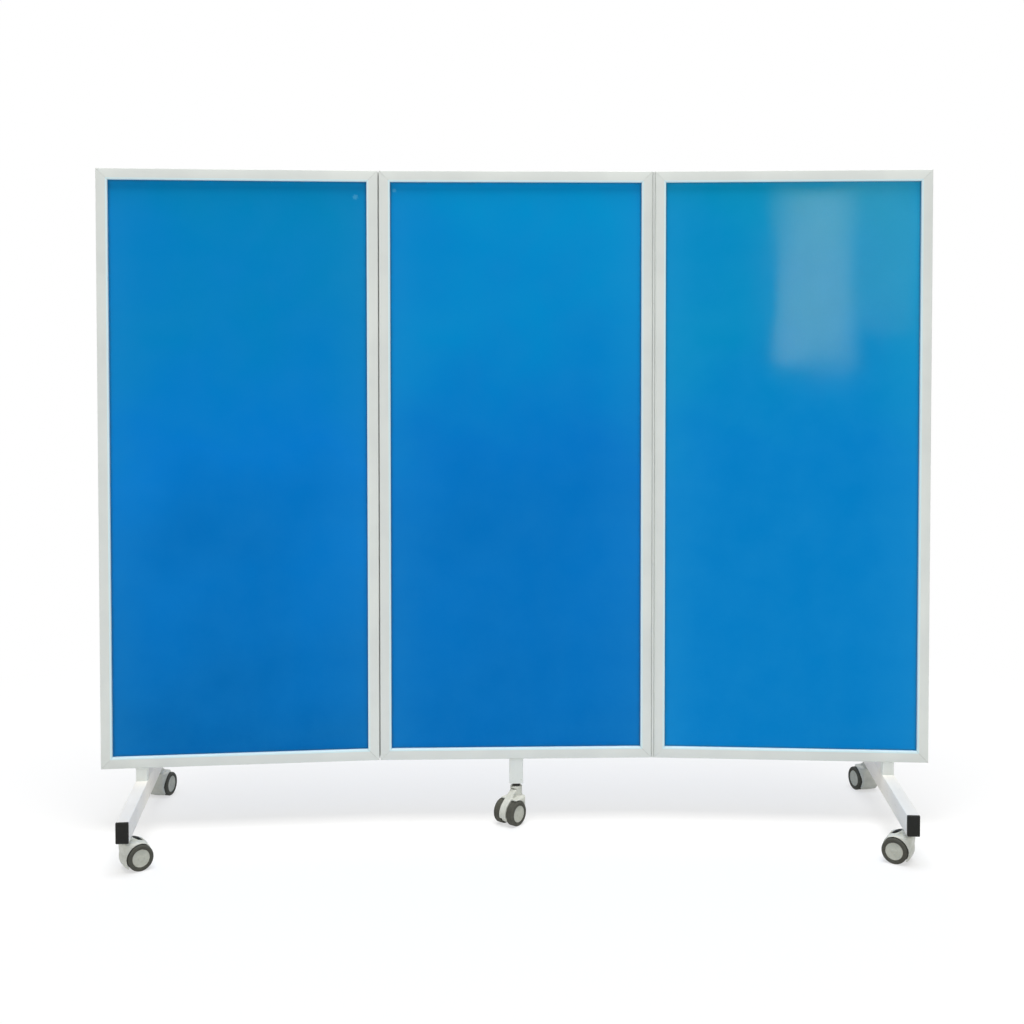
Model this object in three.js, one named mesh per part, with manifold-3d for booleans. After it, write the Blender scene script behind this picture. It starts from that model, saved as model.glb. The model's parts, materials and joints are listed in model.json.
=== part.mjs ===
// Ward privacy screen on wheels: three framed blue panels joined by full-height hinges.
// The wings stand on foot bars with twin-wheel casters, the centre panel on one leg and one caster.
// Millimetres, +Z up, front of the screen toward -Y. The origin is on the floor below the middle of
// the centre panel, and the wings are turned a few degrees toward the front.

import * as THREE from 'three';
import * as BufferGeometryUtils from 'three/addons/utils/BufferGeometryUtils.js';
import Module from 'manifold-3d';

const wasm = await Module();
wasm.setup();

// panels
const panelWidth = 696;
const panelHeight = 1505;
const frameTube = 28;
const frameWall = 1.3;
const postWall = 1.6;
const frameCorner = 1.8;
const grooveDepth = 7;
const sheetThickness = 4;
const leftTurnDegrees = 4.3;
const rightTurnDegrees = 5.3;

// clearances
const fitGap = 0.3;
const runningGap = 0.08;

// hinges
const leafThickness = 0.9;
const leafSpread = 2.8;
const leafWidth = 16;
const hingePinRadius = 1.2;
const hingeEndInset = 2;
const knuckleCount = 9;

// feet
const footBarWidth = 30;
const footBarHeight = 50;
const footBarLength = 600;
const footBarWall = 2;
const footBarCorner = 2.5;
const footInset = 100;
const footPlugHead = 5;
const footPlugInsert = 14;
const casterInset = 50;
const postWidth = 28;
const postLength = 33;
const legWidth = 35;
const legDepth = 28;
const legWall = 2;
const legPlugHead = 4;
const legPlugRadius = 11;
const legPlugInsert = 20;

// casters
const wheelRadius = 31;
const wheelWidth = 20;
const hubRadius = 21;
const hubSink = 1.4;
const tyreShoulder = 4.5;
const tyreCrownShare = 0.25;
const tyreLip = 1.2;
const wheelSkin = 5;
const axleRadius = 4;
const casterTrail = 26;
const hoodCoreWidth = 20;
const hoodSideGap = 0.6;
const hoodCoreRadius = 27;
const spineRadius = 33.5;
const fenderGap = 1.5;
const fenderWall = 4.5;
const fenderSetback = 4.2;
const fenderShoulder = 9;
const fenderCorner = 16;
const neckRadius = 15;
const neckRise = 10;
const tallNeckRise = 25;
const neckLap = 1;
const rampDrop = 9;
const slotWidth = 18;
const slotHeight = 3;
const slotDepth = 4;
const slotDrop = 6;
const stemCollarHeight = 4;
const stemCollarRadius = 10;
const stemRadius = 5;
const stemRise = 16;
const kingPinRadius = 4;
const kingPinDepth = 20;
const boreRelief = 2;
const fenderTrailDegrees = 78;
const brakedTrailDegrees = 58;
const fenderTopDegrees = 90;
const fenderFrontDegrees = 165;
const fenderLeadDegrees = 220;
const rampTailDegrees = 60;
const spineEndDegrees = -15;
const fullTurnDegrees = 360;

// brake pedals
const pedalWidth = 14;
const pedalThickness = 4.4;
const pedalTipShare = 0.25;
const pedalCrown = 4.6;
const pedalHub = 3.2;
const pedalLength = 28;
const pedalSink = 3.4;
const pedalSetback = 3;
const pedalSlopeDegrees = 28;
const pedalTravelDegrees = 10;
const pedalRelief = 0.8;
const pedalHubFromDegrees = 90;
const pedalHubToDegrees = 270;
const trunnionRadius = 1.5;
const trunnionLength = 1.7;

// where each caster's wheels trail, turned from +X
const leftFrontTrailDegrees = 33;
const rightFrontTrailDegrees = 148;
const leftBackTrailDegrees = 75;
const rightBackTrailDegrees = 105;
const centreTrailDegrees = 230;

// facet counts
const roundFacets = 20;
const wheelFacets = 28;
const boreFacets = 14;
const arcSteps = 10;
const shoulderSteps = 3;
const cornerSteps = 2;

// derived sizes
const axleHeight = wheelRadius;
const pocketRadius = wheelRadius + fenderGap;
const fenderRadius = pocketRadius + fenderWall;
const shoulderHeight = axleHeight + fenderRadius;
const hoodTop = shoulderHeight + neckRise;
const tallHoodTop = shoulderHeight + tallNeckRise;
const barBottom = hoodTop + stemCollarHeight;
const barTop = barBottom + footBarHeight;
const panelBottom = barTop + postLength;
const seamGap = 2 * (leafThickness + fitGap) + leafSpread;
const knuckleRadius = leafThickness + leafSpread / 2;
const hingeOffset = frameTube / 2 + knuckleRadius + fitGap;
const sheetSeat = frameTube - grooveDepth + fitGap;
const wheelShift = hoodCoreWidth / 2 + hoodSideGap + wheelWidth / 2;
const hoodHalfWidth = wheelShift + wheelWidth / 2 - fenderSetback;
const axleReach = wheelShift + wheelWidth / 2 - wheelSkin - fitGap;

const paint = {
  frame: { color: 0xd8dcd7, roughness: 0.38, metalness: 0.0 },
  sheet: { color: 0x057ccb, roughness: 0.16, metalness: 0.0 },
  hinge: { color: 0xc6c9c5, roughness: 0.42, metalness: 0.3 },
  pin: { color: 0xa4a6a6, roughness: 0.3, metalness: 0.9 },
  plug: { color: 0x23241f, roughness: 0.55, metalness: 0.0 },
  hood: { color: 0xc9cac2, roughness: 0.5, metalness: 0.0 },
  wheel: { color: 0x55554f, roughness: 0.7, metalness: 0.0 },
  pedal: { color: 0x2c2d2a, roughness: 0.5, metalness: 0.0 },
  steel: { color: 0xa9abac, roughness: 0.3, metalness: 0.9 },
};

function radians(degrees) {
  return THREE.MathUtils.degToRad(degrees);
}

function named(name, geometry, look) {
  const mesh = new THREE.Mesh(geometry, new THREE.MeshStandardMaterial(look));
  mesh.name = name;
  return mesh;
}

// solids are joined and cut here
function toSolid(geometry) {
  const bare = geometry.clone();
  bare.deleteAttribute('normal');
  bare.deleteAttribute('uv');
  const welded = BufferGeometryUtils.mergeVertices(bare);
  return new wasm.Manifold(new wasm.Mesh({
    numProp: 3,
    vertProperties: new Float32Array(welded.attributes.position.array),
    triVerts: new Uint32Array(welded.index.array),
  }));
}

function toGeometry(solid) {
  const mesh = solid.getMesh();
  const geometry = new THREE.BufferGeometry();
  geometry.setAttribute('position', new THREE.BufferAttribute(new Float32Array(mesh.vertProperties), 3));
  geometry.setIndex(new THREE.BufferAttribute(new Uint32Array(mesh.triVerts), 1));
  const flat = geometry.toNonIndexed();
  flat.computeVertexNormals();
  return flat;
}

function joined(geometries) {
  return geometries.map(toSolid).reduce((whole, piece) => whole.add(piece));
}

// turns a shape drawn in X and Y, and pushed along Z, to face another way
function facing(geometry, xAxis, yAxis, zAxis) {
  return geometry.applyMatrix4(new THREE.Matrix4().makeBasis(
    new THREE.Vector3(...xAxis),
    new THREE.Vector3(...yAxis),
    new THREE.Vector3(...zAxis),
  ));
}

function alongX(geometry) {
  return facing(geometry, [0, 1, 0], [0, 0, 1], [1, 0, 0]);
}

function alongY(geometry) {
  return facing(geometry, [1, 0, 0], [0, 0, 1], [0, -1, 0]);
}

function push(shape, length, steps = cornerSteps) {
  return new THREE.ExtrudeGeometry(shape, { depth: length, bevelEnabled: false, curveSegments: steps });
}

function rod(radius, length, facets = roundFacets) {
  return new THREE.CylinderGeometry(radius, radius, length, facets);
}

function rodAlongZ(radius, length, facets = roundFacets) {
  return rod(radius, length, facets).rotateX(Math.PI / 2);
}

function rodAlongX(radius, length, facets = roundFacets) {
  return rod(radius, length, facets).rotateZ(Math.PI / 2);
}

// a bore's flats stand clear of a pin of this radius
function boreFor(radius) {
  return radius / Math.cos(Math.PI / boreFacets) + runningGap;
}

function roundedRectangle(path, width, height, corner) {
  const x = width / 2;
  const y = height / 2;
  path.moveTo(-x + corner, -y);
  path.lineTo(x - corner, -y);
  path.quadraticCurveTo(x, -y, x, -y + corner);
  path.lineTo(x, y - corner);
  path.quadraticCurveTo(x, y, x - corner, y);
  path.lineTo(-x + corner, y);
  path.quadraticCurveTo(-x, y, -x, y - corner);
  path.lineTo(-x, -y + corner);
  path.quadraticCurveTo(-x, -y, -x + corner, -y);
  return path;
}

function hollowTube(width, height, corner, wall, length) {
  const shape = roundedRectangle(new THREE.Shape(), width, height, corner);
  shape.holes.push(roundedRectangle(new THREE.Path(), width - 2 * wall, height - 2 * wall, corner / 2));
  return push(shape, length);
}

// frame tube: X runs from the outside edge of the panel inward, with the sheet's groove at the inner edge
function frameSection() {
  const y = frameTube / 2;
  const lip = sheetThickness / 2 + fitGap;
  const corner = frameCorner;
  const shape = new THREE.Shape();
  shape.moveTo(corner, -y);
  shape.lineTo(frameTube - corner, -y);
  shape.quadraticCurveTo(frameTube, -y, frameTube, -y + corner);
  shape.lineTo(frameTube, -lip);
  shape.lineTo(frameTube - grooveDepth, -lip);
  shape.lineTo(frameTube - grooveDepth, lip);
  shape.lineTo(frameTube, lip);
  shape.lineTo(frameTube, y - corner);
  shape.quadraticCurveTo(frameTube, y, frameTube - corner, y);
  shape.lineTo(corner, y);
  shape.quadraticCurveTo(0, y, 0, y - corner);
  shape.lineTo(0, -y + corner);
  shape.quadraticCurveTo(0, -y, corner, -y);
  // the chamber inside the thin wall bends round the groove into both lips
  const near = frameWall;
  const far = frameTube - frameWall;
  const bend = frameTube - grooveDepth - frameWall;
  const hole = new THREE.Path();
  hole.moveTo(near, -y + frameWall);
  hole.lineTo(far, -y + frameWall);
  hole.lineTo(far, -lip - frameWall);
  hole.lineTo(bend, -lip - frameWall);
  hole.lineTo(bend, lip + frameWall);
  hole.lineTo(far, lip + frameWall);
  hole.lineTo(far, y - frameWall);
  hole.lineTo(near, y - frameWall);
  hole.lineTo(near, -y + frameWall);
  shape.holes.push(hole);
  return shape;
}

// both ends are cut at 45 degrees, so four tubes meet in mitred corners
function mitredTube(length) {
  const tube = push(frameSection(), length);
  const place = tube.attributes.position;
  for (let i = 0; i < place.count; i += 1) {
    const inward = place.getX(i) + fitGap * Math.SQRT1_2;
    const end = place.getZ(i) > length / 2 ? length - inward : inward;
    place.setZ(i, end);
  }
  return tube;
}

// one framed panel, centred on X and Y and standing on Z = 0
function framedPanel(prefix, stileNames) {
  const panel = new THREE.Group();
  const half = panelWidth / 2;
  const first = named(prefix + stileNames[0], mitredTube(panelHeight), paint.frame);
  first.position.x = -half;
  const second = named(prefix + stileNames[1], mitredTube(panelHeight).rotateZ(Math.PI), paint.frame);
  second.position.x = half;
  const bottom = facing(mitredTube(panelWidth), [0, 0, 1], [0, -1, 0], [1, 0, 0]);
  const lower = named(prefix + '_rail_bottom', bottom, paint.frame);
  lower.position.x = -half;
  const top = facing(mitredTube(panelWidth), [0, 0, -1], [0, 1, 0], [1, 0, 0]);
  const upper = named(prefix + '_rail_top', top, paint.frame);
  upper.position.set(-half, 0, panelHeight);
  const board = new THREE.BoxGeometry(panelWidth - 2 * sheetSeat, sheetThickness, panelHeight - 2 * sheetSeat);
  const sheet = named(prefix + '_sheet', board, paint.sheet);
  sheet.position.z = panelHeight / 2;
  panel.add(first, second, lower, upper, sheet);
  return panel;
}

// hinge leaf on the axis at X = 0, Y = 0: its strip lies toward +X and runs toward +Y, into the seam
function hingeLeaf(firstKnuckle) {
  const length = panelHeight - 2 * hingeEndInset;
  const pitch = length / knuckleCount;
  const stripX = knuckleRadius - leafThickness / 2;
  const clear = knuckleRadius + fitGap;
  const stripDepth = leafWidth - fitGap;
  const pieces = [
    new THREE.BoxGeometry(leafThickness, stripDepth, length).translate(stripX, clear + stripDepth / 2, 0),
  ];
  for (let i = firstKnuckle; i < knuckleCount; i += 2) {
    const middle = i * pitch + pitch / 2 - length / 2;
    const height = pitch - fitGap;
    const tab = new THREE.BoxGeometry(leafThickness, clear + leafThickness, height);
    pieces.push(rodAlongZ(knuckleRadius, height, boreFacets).translate(0, 0, middle));
    pieces.push(tab.translate(stripX, (clear + leafThickness) / 2, middle));
  }
  const bore = rodAlongZ(boreFor(hingePinRadius), panelHeight, boreFacets);
  return toGeometry(joined(pieces).subtract(toSolid(bore)));
}

function hingePin() {
  const length = panelHeight - 2 * hingeEndInset;
  return rodAlongZ(hingePinRadius, length, boreFacets);
}

// foot bar along Y, holes in its underside for the caster stems
function footBar() {
  const tube = alongY(hollowTube(footBarWidth, footBarHeight, footBarCorner, footBarWall, footBarLength));
  const body = toSolid(tube.translate(0, footBarLength / 2, 0));
  const reach = footBarLength / 2 - casterInset;
  const drill = (y) => toSolid(rodAlongZ(stemRadius + fitGap, footBarHeight).translate(0, y, -footBarHeight / 2));
  return toGeometry(body.subtract(drill(-reach)).subtract(drill(reach)));
}

// plug with its head on the -Y side
function footPlug() {
  const head = push(roundedRectangle(new THREE.Shape(), footBarWidth, footBarHeight, footBarCorner), footPlugHead);
  const inner = roundedRectangle(
    new THREE.Shape(),
    footBarWidth - 2 * (footBarWall + fitGap),
    footBarHeight - 2 * (footBarWall + fitGap),
    footBarCorner / 2,
  );
  const insert = push(inner, footPlugInsert + footPlugHead / 2);
  return toGeometry(joined([
    alongY(head),
    alongY(insert).translate(0, footPlugInsert, 0),
  ]));
}

function uprightTube(width, depth, wall, length) {
  return hollowTube(width, depth, frameCorner, wall, length);
}

// black socket under the centre leg: a round head below and an oblong insert above Z = 0
function legPlug() {
  const play = 2 * (legWall + fitGap);
  const outline = roundedRectangle(new THREE.Shape(), legWidth - play, legDepth - play, frameCorner / 2);
  const insert = push(outline, legPlugInsert);
  const head = rodAlongZ(legPlugRadius, legPlugHead).translate(0, 0, -legPlugHead / 2);
  const skirt = rodAlongZ(legPlugRadius, legPlugHead).translate(0, 0, legPlugHead / 2);
  const bore = rodAlongZ(stemRadius + fitGap, 2 * (legPlugHead + legPlugInsert));
  return toGeometry(joined([insert, head, skirt]).subtract(toSolid(bore)));
}

// caster stem: king pin down into the hood, collar, and threaded stem up into the bar or leg
function casterStem(top, rise) {
  const low = top - kingPinDepth;
  const collar = top + fitGap;
  const collarTop = top + stemCollarHeight - fitGap;
  const profile = [
    [0, low],
    [kingPinRadius, low],
    [kingPinRadius, collar],
    [stemCollarRadius, collar],
    [stemCollarRadius, collarTop],
    [stemRadius, collarTop],
    [stemRadius, collarTop + rise],
    [0, collarTop + rise],
  ].map(([r, z]) => new THREE.Vector2(r, z));
  return new THREE.LatheGeometry(profile, roundFacets).rotateX(Math.PI / 2);
}

// a point on a circle round the axle, seen from the side: Y trails away from the king pin, Z is height
function roundAxle(radius, degrees) {
  const turn = radians(degrees);
  return new THREE.Vector2(casterTrail + radius * Math.cos(turn), axleHeight + radius * Math.sin(turn));
}

function axleArc(path, radius, fromDegrees, toDegrees) {
  const backward = toDegrees < fromDegrees;
  path.absarc(casterTrail, axleHeight, radius, radians(fromDegrees), radians(toDegrees), backward);
}

function sideSolid(outline, halfWidth) {
  const shape = new THREE.Shape(outline.getPoints(arcSteps));
  return toSolid(alongX(push(shape, 2 * halfWidth)).translate(-halfWidth, 0, 0));
}

// shell over the front and top of both wheels
function fenderSide(trailDegrees) {
  const outline = new THREE.Path();
  axleArc(outline, fenderRadius, trailDegrees, fenderTopDegrees);
  outline.lineTo(neckLap - neckRadius, shoulderHeight);
  axleArc(outline, fenderRadius, fenderFrontDegrees, fenderLeadDegrees);
  axleArc(outline, hubRadius, fenderLeadDegrees, trailDegrees);
  return outline;
}

// body between the wheels, with a raised spine along its trailing side
function coreSide() {
  const outline = new THREE.Path();
  axleArc(outline, spineRadius, spineEndDegrees, fenderFrontDegrees);
  axleArc(outline, fenderRadius, fenderFrontDegrees, fenderLeadDegrees);
  axleArc(outline, hoodCoreRadius, fenderLeadDegrees - fullTurnDegrees, spineEndDegrees);
  return outline;
}

// slope from the neck down to the spine
function rampSide(top) {
  const tail = roundAxle(spineRadius, rampTailDegrees);
  const outline = new THREE.Path();
  outline.moveTo(0, top);
  outline.lineTo(0, shoulderHeight - fenderRadius / 2);
  outline.lineTo(casterTrail, axleHeight);
  outline.lineTo(tail.x, tail.y);
  outline.lineTo(neckRadius - neckLap, top);
  outline.lineTo(0, top);
  return outline;
}

// front outline of the fender, with rounded shoulders
function fenderFront() {
  const shape = new THREE.Shape();
  shape.moveTo(-hoodHalfWidth, 0);
  shape.lineTo(hoodHalfWidth, 0);
  shape.lineTo(hoodHalfWidth, shoulderHeight - fenderShoulder);
  shape.quadraticCurveTo(hoodHalfWidth, shoulderHeight, hoodHalfWidth - fenderShoulder, shoulderHeight);
  shape.lineTo(fenderShoulder - hoodHalfWidth, shoulderHeight);
  shape.quadraticCurveTo(-hoodHalfWidth, shoulderHeight, -hoodHalfWidth, shoulderHeight - fenderShoulder);
  shape.lineTo(-hoodHalfWidth, 0);
  return shape;
}

// pedal's hub under the slope of the ramp, seen from the side
function pedalPivot() {
  const tail = roundAxle(spineRadius, rampTailDegrees);
  const start = neckRadius - neckLap;
  const slope = (hoodTop - tail.y) / (tail.x - start);
  return [start + pedalSetback, hoodTop - slope * pedalSetback - pedalSink];
}

// crescent lever: X runs from the hub to the free end
function pedalOutline() {
  const shape = new THREE.Shape();
  shape.moveTo(0, pedalHub);
  shape.absarc(0, 0, pedalHub, radians(pedalHubFromDegrees), radians(pedalHubToDegrees), false);
  shape.quadraticCurveTo(pedalLength / 2, pedalCrown - pedalThickness / 2, pedalLength, -pedalThickness / 2);
  shape.lineTo(pedalLength, pedalThickness * pedalTipShare);
  shape.quadraticCurveTo(pedalLength / 2, pedalHub + pedalCrown, 0, pedalHub);
  return shape;
}

function brakePedal() {
  const lever = alongX(push(pedalOutline(), pedalWidth, shoulderSteps)).translate(-pedalWidth / 2, 0, 0);
  const trunnion = rodAlongX(trunnionRadius, pedalWidth + 2 * trunnionLength, boreFacets);
  return joined([lever, trunnion]);
}

// room for the pedal and its travel in the hood
function pedalRecess() {
  const back = pedalHub + pedalRelief;
  const reach = pedalLength + pedalRelief;
  const drop = pedalThickness / 2 + pedalRelief + pedalLength * Math.tan(radians(pedalTravelDegrees));
  const shape = new THREE.Shape();
  shape.moveTo(-back, -back);
  shape.lineTo(reach, -drop);
  shape.lineTo(reach, fenderRadius);
  shape.lineTo(-back, fenderRadius);
  shape.lineTo(-back, -back);
  const width = pedalWidth + 2 * fitGap;
  const recess = alongX(push(shape, width)).translate(-width / 2, 0, 0);
  const holes = rodAlongX(boreFor(trunnionRadius), pedalWidth + 2 * (trunnionLength + fitGap), boreFacets);
  return joined([recess, holes]);
}

function onPedalSlope(solid) {
  const [y, z] = pedalPivot();
  return solid.rotate([-pedalSlopeDegrees, 0, 0]).translate([0, y, z]);
}

// shell, core, ramp and round neck in one, before anything is cut out of it
function hoodBody(top, trailDegrees, rampTop) {
  const front = alongY(push(fenderFront(), 2 * fenderRadius, shoulderSteps));
  const depth = 2 * fenderRadius + fenderCorner;
  const plan = push(
    roundedRectangle(new THREE.Shape(), 2 * hoodHalfWidth, depth, fenderCorner),
    2 * fenderRadius,
    shoulderSteps,
  );
  const shell = sideSolid(fenderSide(trailDegrees), hoodHalfWidth)
    .intersect(toSolid(front.translate(0, casterTrail + fenderRadius, 0)))
    .intersect(toSolid(plan.translate(0, depth / 2 + neckLap - neckRadius, 0)));
  const neck = rodAlongZ(neckRadius, top - axleHeight, wheelFacets);
  const flat = new THREE.BoxGeometry(2 * neckRadius, 2 * neckRadius, top - shoulderHeight + neckLap);
  const roundNeck = toSolid(neck.translate(0, 0, (top + axleHeight) / 2))
    .intersect(toSolid(flat.translate(0, 0, (top + shoulderHeight - neckLap) / 2)));
  return shell
    .add(sideSolid(coreSide(), hoodCoreWidth / 2))
    .add(sideSolid(rampSide(rampTop), hoodCoreWidth / 2))
    .add(roundNeck);
}

function casterHood(top, withPedal) {
  const tall = top > hoodTop;
  const rampTop = tall ? top - rampDrop : top;
  let hood = hoodBody(top, withPedal ? brakedTrailDegrees : fenderTrailDegrees, rampTop);
  const pocketDepth = wheelWidth + hoodSideGap;
  for (const x of [-1, 1]) {
    const pocket = rodAlongX(pocketRadius, pocketDepth, wheelFacets);
    const shift = x * (hoodCoreWidth / 2 + pocketDepth / 2);
    hood = hood.subtract(toSolid(pocket.translate(shift, casterTrail, axleHeight)));
  }
  const axleBore = rodAlongX(axleRadius + fitGap, 2 * hoodCoreWidth).translate(0, casterTrail, axleHeight);
  hood = hood.subtract(toSolid(axleBore));
  const pinBore = rodAlongZ(kingPinRadius + fitGap, 2 * (kingPinDepth + boreRelief)).translate(0, 0, top);
  hood = hood.subtract(toSolid(pinBore));
  if (withPedal) {
    hood = hood.subtract(onPedalSlope(pedalRecess()));
  }
  if (tall) {
    const slot = new THREE.BoxGeometry(slotWidth, 2 * slotDepth, slotHeight);
    hood = hood.subtract(toSolid(slot.translate(0, neckRadius, top - slotDrop)));
  }
  return toGeometry(hood);
}

// wheel on the X axis with its outer face toward +X: tyre, sunk hub disc and a blind bore from the inside
function casterWheel() {
  const half = wheelWidth / 2;
  const bore = axleRadius + fitGap;
  const profile = [
    [0, half - hubSink],
    [hubRadius - hubSink, half - hubSink],
    [hubRadius, half - tyreLip],
    [wheelRadius - tyreShoulder, half],
    [wheelRadius - tyreShoulder * tyreCrownShare, half - tyreShoulder / 2],
    [wheelRadius, half - tyreShoulder],
    [wheelRadius, -half + tyreShoulder / 2],
    [wheelRadius - tyreShoulder / 2, -half],
    [bore, -half],
    [bore, half - wheelSkin],
    [0, half - wheelSkin],
  ].map(([r, x]) => new THREE.Vector2(r, x));
  return new THREE.LatheGeometry(profile.reverse(), wheelFacets).rotateZ(-Math.PI / 2);
}

function caster(prefix, trailDegrees, top, withPedal) {
  const group = new THREE.Group();
  group.rotation.z = radians(trailDegrees) - Math.PI / 2;
  group.add(named(prefix + '_hood', casterHood(top, withPedal), paint.hood));
  const axle = named(prefix + '_axle', rodAlongX(axleRadius, 2 * axleReach), paint.steel);
  axle.position.set(0, casterTrail, axleHeight);
  group.add(axle);
  for (const [label, side] of [['_wheel_a', 1], ['_wheel_b', -1]]) {
    const wheel = named(prefix + label, casterWheel(), paint.wheel);
    wheel.rotation.z = side > 0 ? 0 : Math.PI;
    wheel.position.set(side * wheelShift, casterTrail, axleHeight);
    group.add(wheel);
  }
  if (withPedal) {
    group.add(named(prefix + '_pedal', toGeometry(onPedalSlope(brakePedal())), paint.pedal));
  }
  return group;
}

// foot of one wing, centred under the wing's post
function wingFoot(prefix, frontTrail, backTrail) {
  const foot = new THREE.Group();
  const bar = named(prefix + '_foot_bar', footBar(), paint.frame);
  bar.position.z = barBottom + footBarHeight / 2;
  const upright = uprightTube(postWidth, postWidth, postWall, postLength - 2 * fitGap);
  const post = named(prefix + '_post', upright, paint.frame);
  post.position.z = barTop + fitGap;
  foot.add(bar, post);
  const plugReach = footBarLength / 2 + fitGap;
  for (const [label, turn] of [['_plug_front', 0], ['_plug_back', Math.PI]]) {
    const plug = named(prefix + label, footPlug(), paint.plug);
    plug.rotation.z = turn;
    plug.position.set(0, turn > 0 ? plugReach : -plugReach, bar.position.z);
    foot.add(plug);
  }
  const casterReach = footBarLength / 2 - casterInset;
  for (const [label, y, trail, pedal] of [
    ['_front_caster', -casterReach, frontTrail, true],
    ['_back_caster', casterReach, backTrail, false],
  ]) {
    const stem = named(prefix + label + '_stem', casterStem(hoodTop, stemRise), paint.steel);
    stem.position.y = y;
    const wheels = caster(prefix + label, trail, hoodTop, pedal);
    wheels.position.y = y;
    foot.add(stem, wheels);
  }
  return foot;
}

// wing on its hinge: side is -1 for the left wing, whose hinge is at the back, and 1 for the right
function wing(prefix, side, turnDegrees, trails) {
  const swing = new THREE.Group();
  swing.position.set(side * (panelWidth + seamGap) / 2, -side * hingeOffset, 0);
  swing.rotation.z = -side * radians(turnDegrees);
  const arm = new THREE.Group();
  arm.position.set(side * (panelWidth + seamGap) / 2, side * hingeOffset, 0);
  const stiles = side < 0 ? ['_stile_outer', '_stile_inner'] : ['_stile_inner', '_stile_outer'];
  const panel = framedPanel(prefix, stiles);
  panel.position.z = panelBottom;
  const foot = wingFoot(prefix, trails[0] + side * turnDegrees, trails[1] + side * turnDegrees);
  foot.position.x = side * (panelWidth / 2 - footInset);
  arm.add(panel, foot);
  const leaf = named(prefix + '_hinge_leaf_moving', hingeLeaf(1), paint.hinge);
  leaf.rotation.z = side < 0 ? Math.PI : 0;
  leaf.position.z = panelBottom + panelHeight / 2;
  swing.add(arm, leaf);
  return swing;
}

// centre panel with its leg, the fixed hinge leaves and the hinge pins
function centre() {
  const group = new THREE.Group();
  const panel = framedPanel('centre', ['_stile_left', '_stile_right']);
  panel.position.z = panelBottom;
  const legBottom = tallHoodTop + stemCollarHeight + legPlugHead;
  const upright = uprightTube(legWidth, legDepth, legWall, panelBottom - legBottom - 2 * fitGap);
  const leg = named('centre_leg', upright, paint.frame);
  leg.position.z = legBottom + fitGap;
  const plug = named('centre_leg_plug', legPlug(), paint.plug);
  plug.position.z = legBottom;
  const stem = named('centre_caster_stem', casterStem(tallHoodTop, stemRise + legPlugHead), paint.steel);
  group.add(panel, leg, plug, stem, caster('centre_caster', centreTrailDegrees, tallHoodTop, false));
  for (const [prefix, side] of [['left', -1], ['right', 1]]) {
    const seat = new THREE.Vector3(
      side * (panelWidth + seamGap) / 2,
      -side * hingeOffset,
      panelBottom + panelHeight / 2,
    );
    const leaf = named(prefix + '_hinge_leaf_fixed', mirroredLeaf(), paint.hinge);
    leaf.rotation.z = side < 0 ? Math.PI : 0;
    leaf.position.copy(seat);
    const pin = named(prefix + '_hinge_pin', hingePin(), paint.pin);
    pin.position.copy(seat);
    group.add(leaf, pin);
  }
  return group;
}

// fixed leaf: the strip lies toward -X and its knuckles fill the places that the moving leaf leaves free
function mirroredLeaf() {
  const leaf = toSolid(hingeLeaf(0)).mirror([1, 0, 0]);
  return toGeometry(leaf);
}

const screen = new THREE.Group();
screen.name = 'ward_screen';
screen.add(
  centre(),
  wing('left', -1, leftTurnDegrees, [leftFrontTrailDegrees, leftBackTrailDegrees]),
  wing('right', 1, rightTurnDegrees, [rightFrontTrailDegrees, rightBackTrailDegrees]),
);

export default screen;
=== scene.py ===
import json
import math

import bmesh
import bpy
import numpy as np
from mathutils import Matrix, Vector

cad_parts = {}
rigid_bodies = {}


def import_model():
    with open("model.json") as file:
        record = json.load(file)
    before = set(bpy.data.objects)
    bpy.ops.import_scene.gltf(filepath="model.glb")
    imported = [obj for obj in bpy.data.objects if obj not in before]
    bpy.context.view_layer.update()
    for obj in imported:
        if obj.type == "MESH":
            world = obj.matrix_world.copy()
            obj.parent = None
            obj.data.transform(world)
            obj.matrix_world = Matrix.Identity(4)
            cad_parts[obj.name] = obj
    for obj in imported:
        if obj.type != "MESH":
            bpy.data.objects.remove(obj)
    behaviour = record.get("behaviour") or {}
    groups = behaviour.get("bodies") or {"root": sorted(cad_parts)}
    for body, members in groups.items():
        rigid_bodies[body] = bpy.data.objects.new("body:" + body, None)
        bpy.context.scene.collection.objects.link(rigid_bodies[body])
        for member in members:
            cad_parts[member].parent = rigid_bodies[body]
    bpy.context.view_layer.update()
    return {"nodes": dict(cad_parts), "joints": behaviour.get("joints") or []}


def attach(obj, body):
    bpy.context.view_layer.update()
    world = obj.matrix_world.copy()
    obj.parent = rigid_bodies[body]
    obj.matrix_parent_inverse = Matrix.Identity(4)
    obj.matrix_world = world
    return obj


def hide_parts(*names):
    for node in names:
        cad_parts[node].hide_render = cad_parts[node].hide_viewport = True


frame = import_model()
mm = 0.001
across, back, up = Vector((1, 0, 0)), Vector((0, 1, 0)), Vector((0, 0, 1))


# the frame's joints, and where each turned part of it stands

joints = {joint["name"]: joint for joint in frame["joints"]}


def nodePoints(name):
    return np.array([vertex.co for vertex in frame["nodes"][name].data.vertices], float)


def standing(origin, acrossDirection):
    # a place on the floor below the origin, with X along the direction given
    x = Vector((acrossDirection[0], acrossDirection[1], 0)).normalized()
    turned = Matrix((x, up.cross(x), up)).transposed().to_4x4()
    turned.translation = (origin[0], origin[1], 0)
    return turned


def pointsIn(place, name):
    # a node's points as seen from a place, in metres
    inward = place.inverted()
    return nodePoints(name) @ np.array(inward.to_3x3()).T + np.array(inward.translation)


def boxIn(place, name):
    seen = pointsIn(place, name)
    return Vector(seen.min(0)), Vector(seen.max(0))


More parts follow.
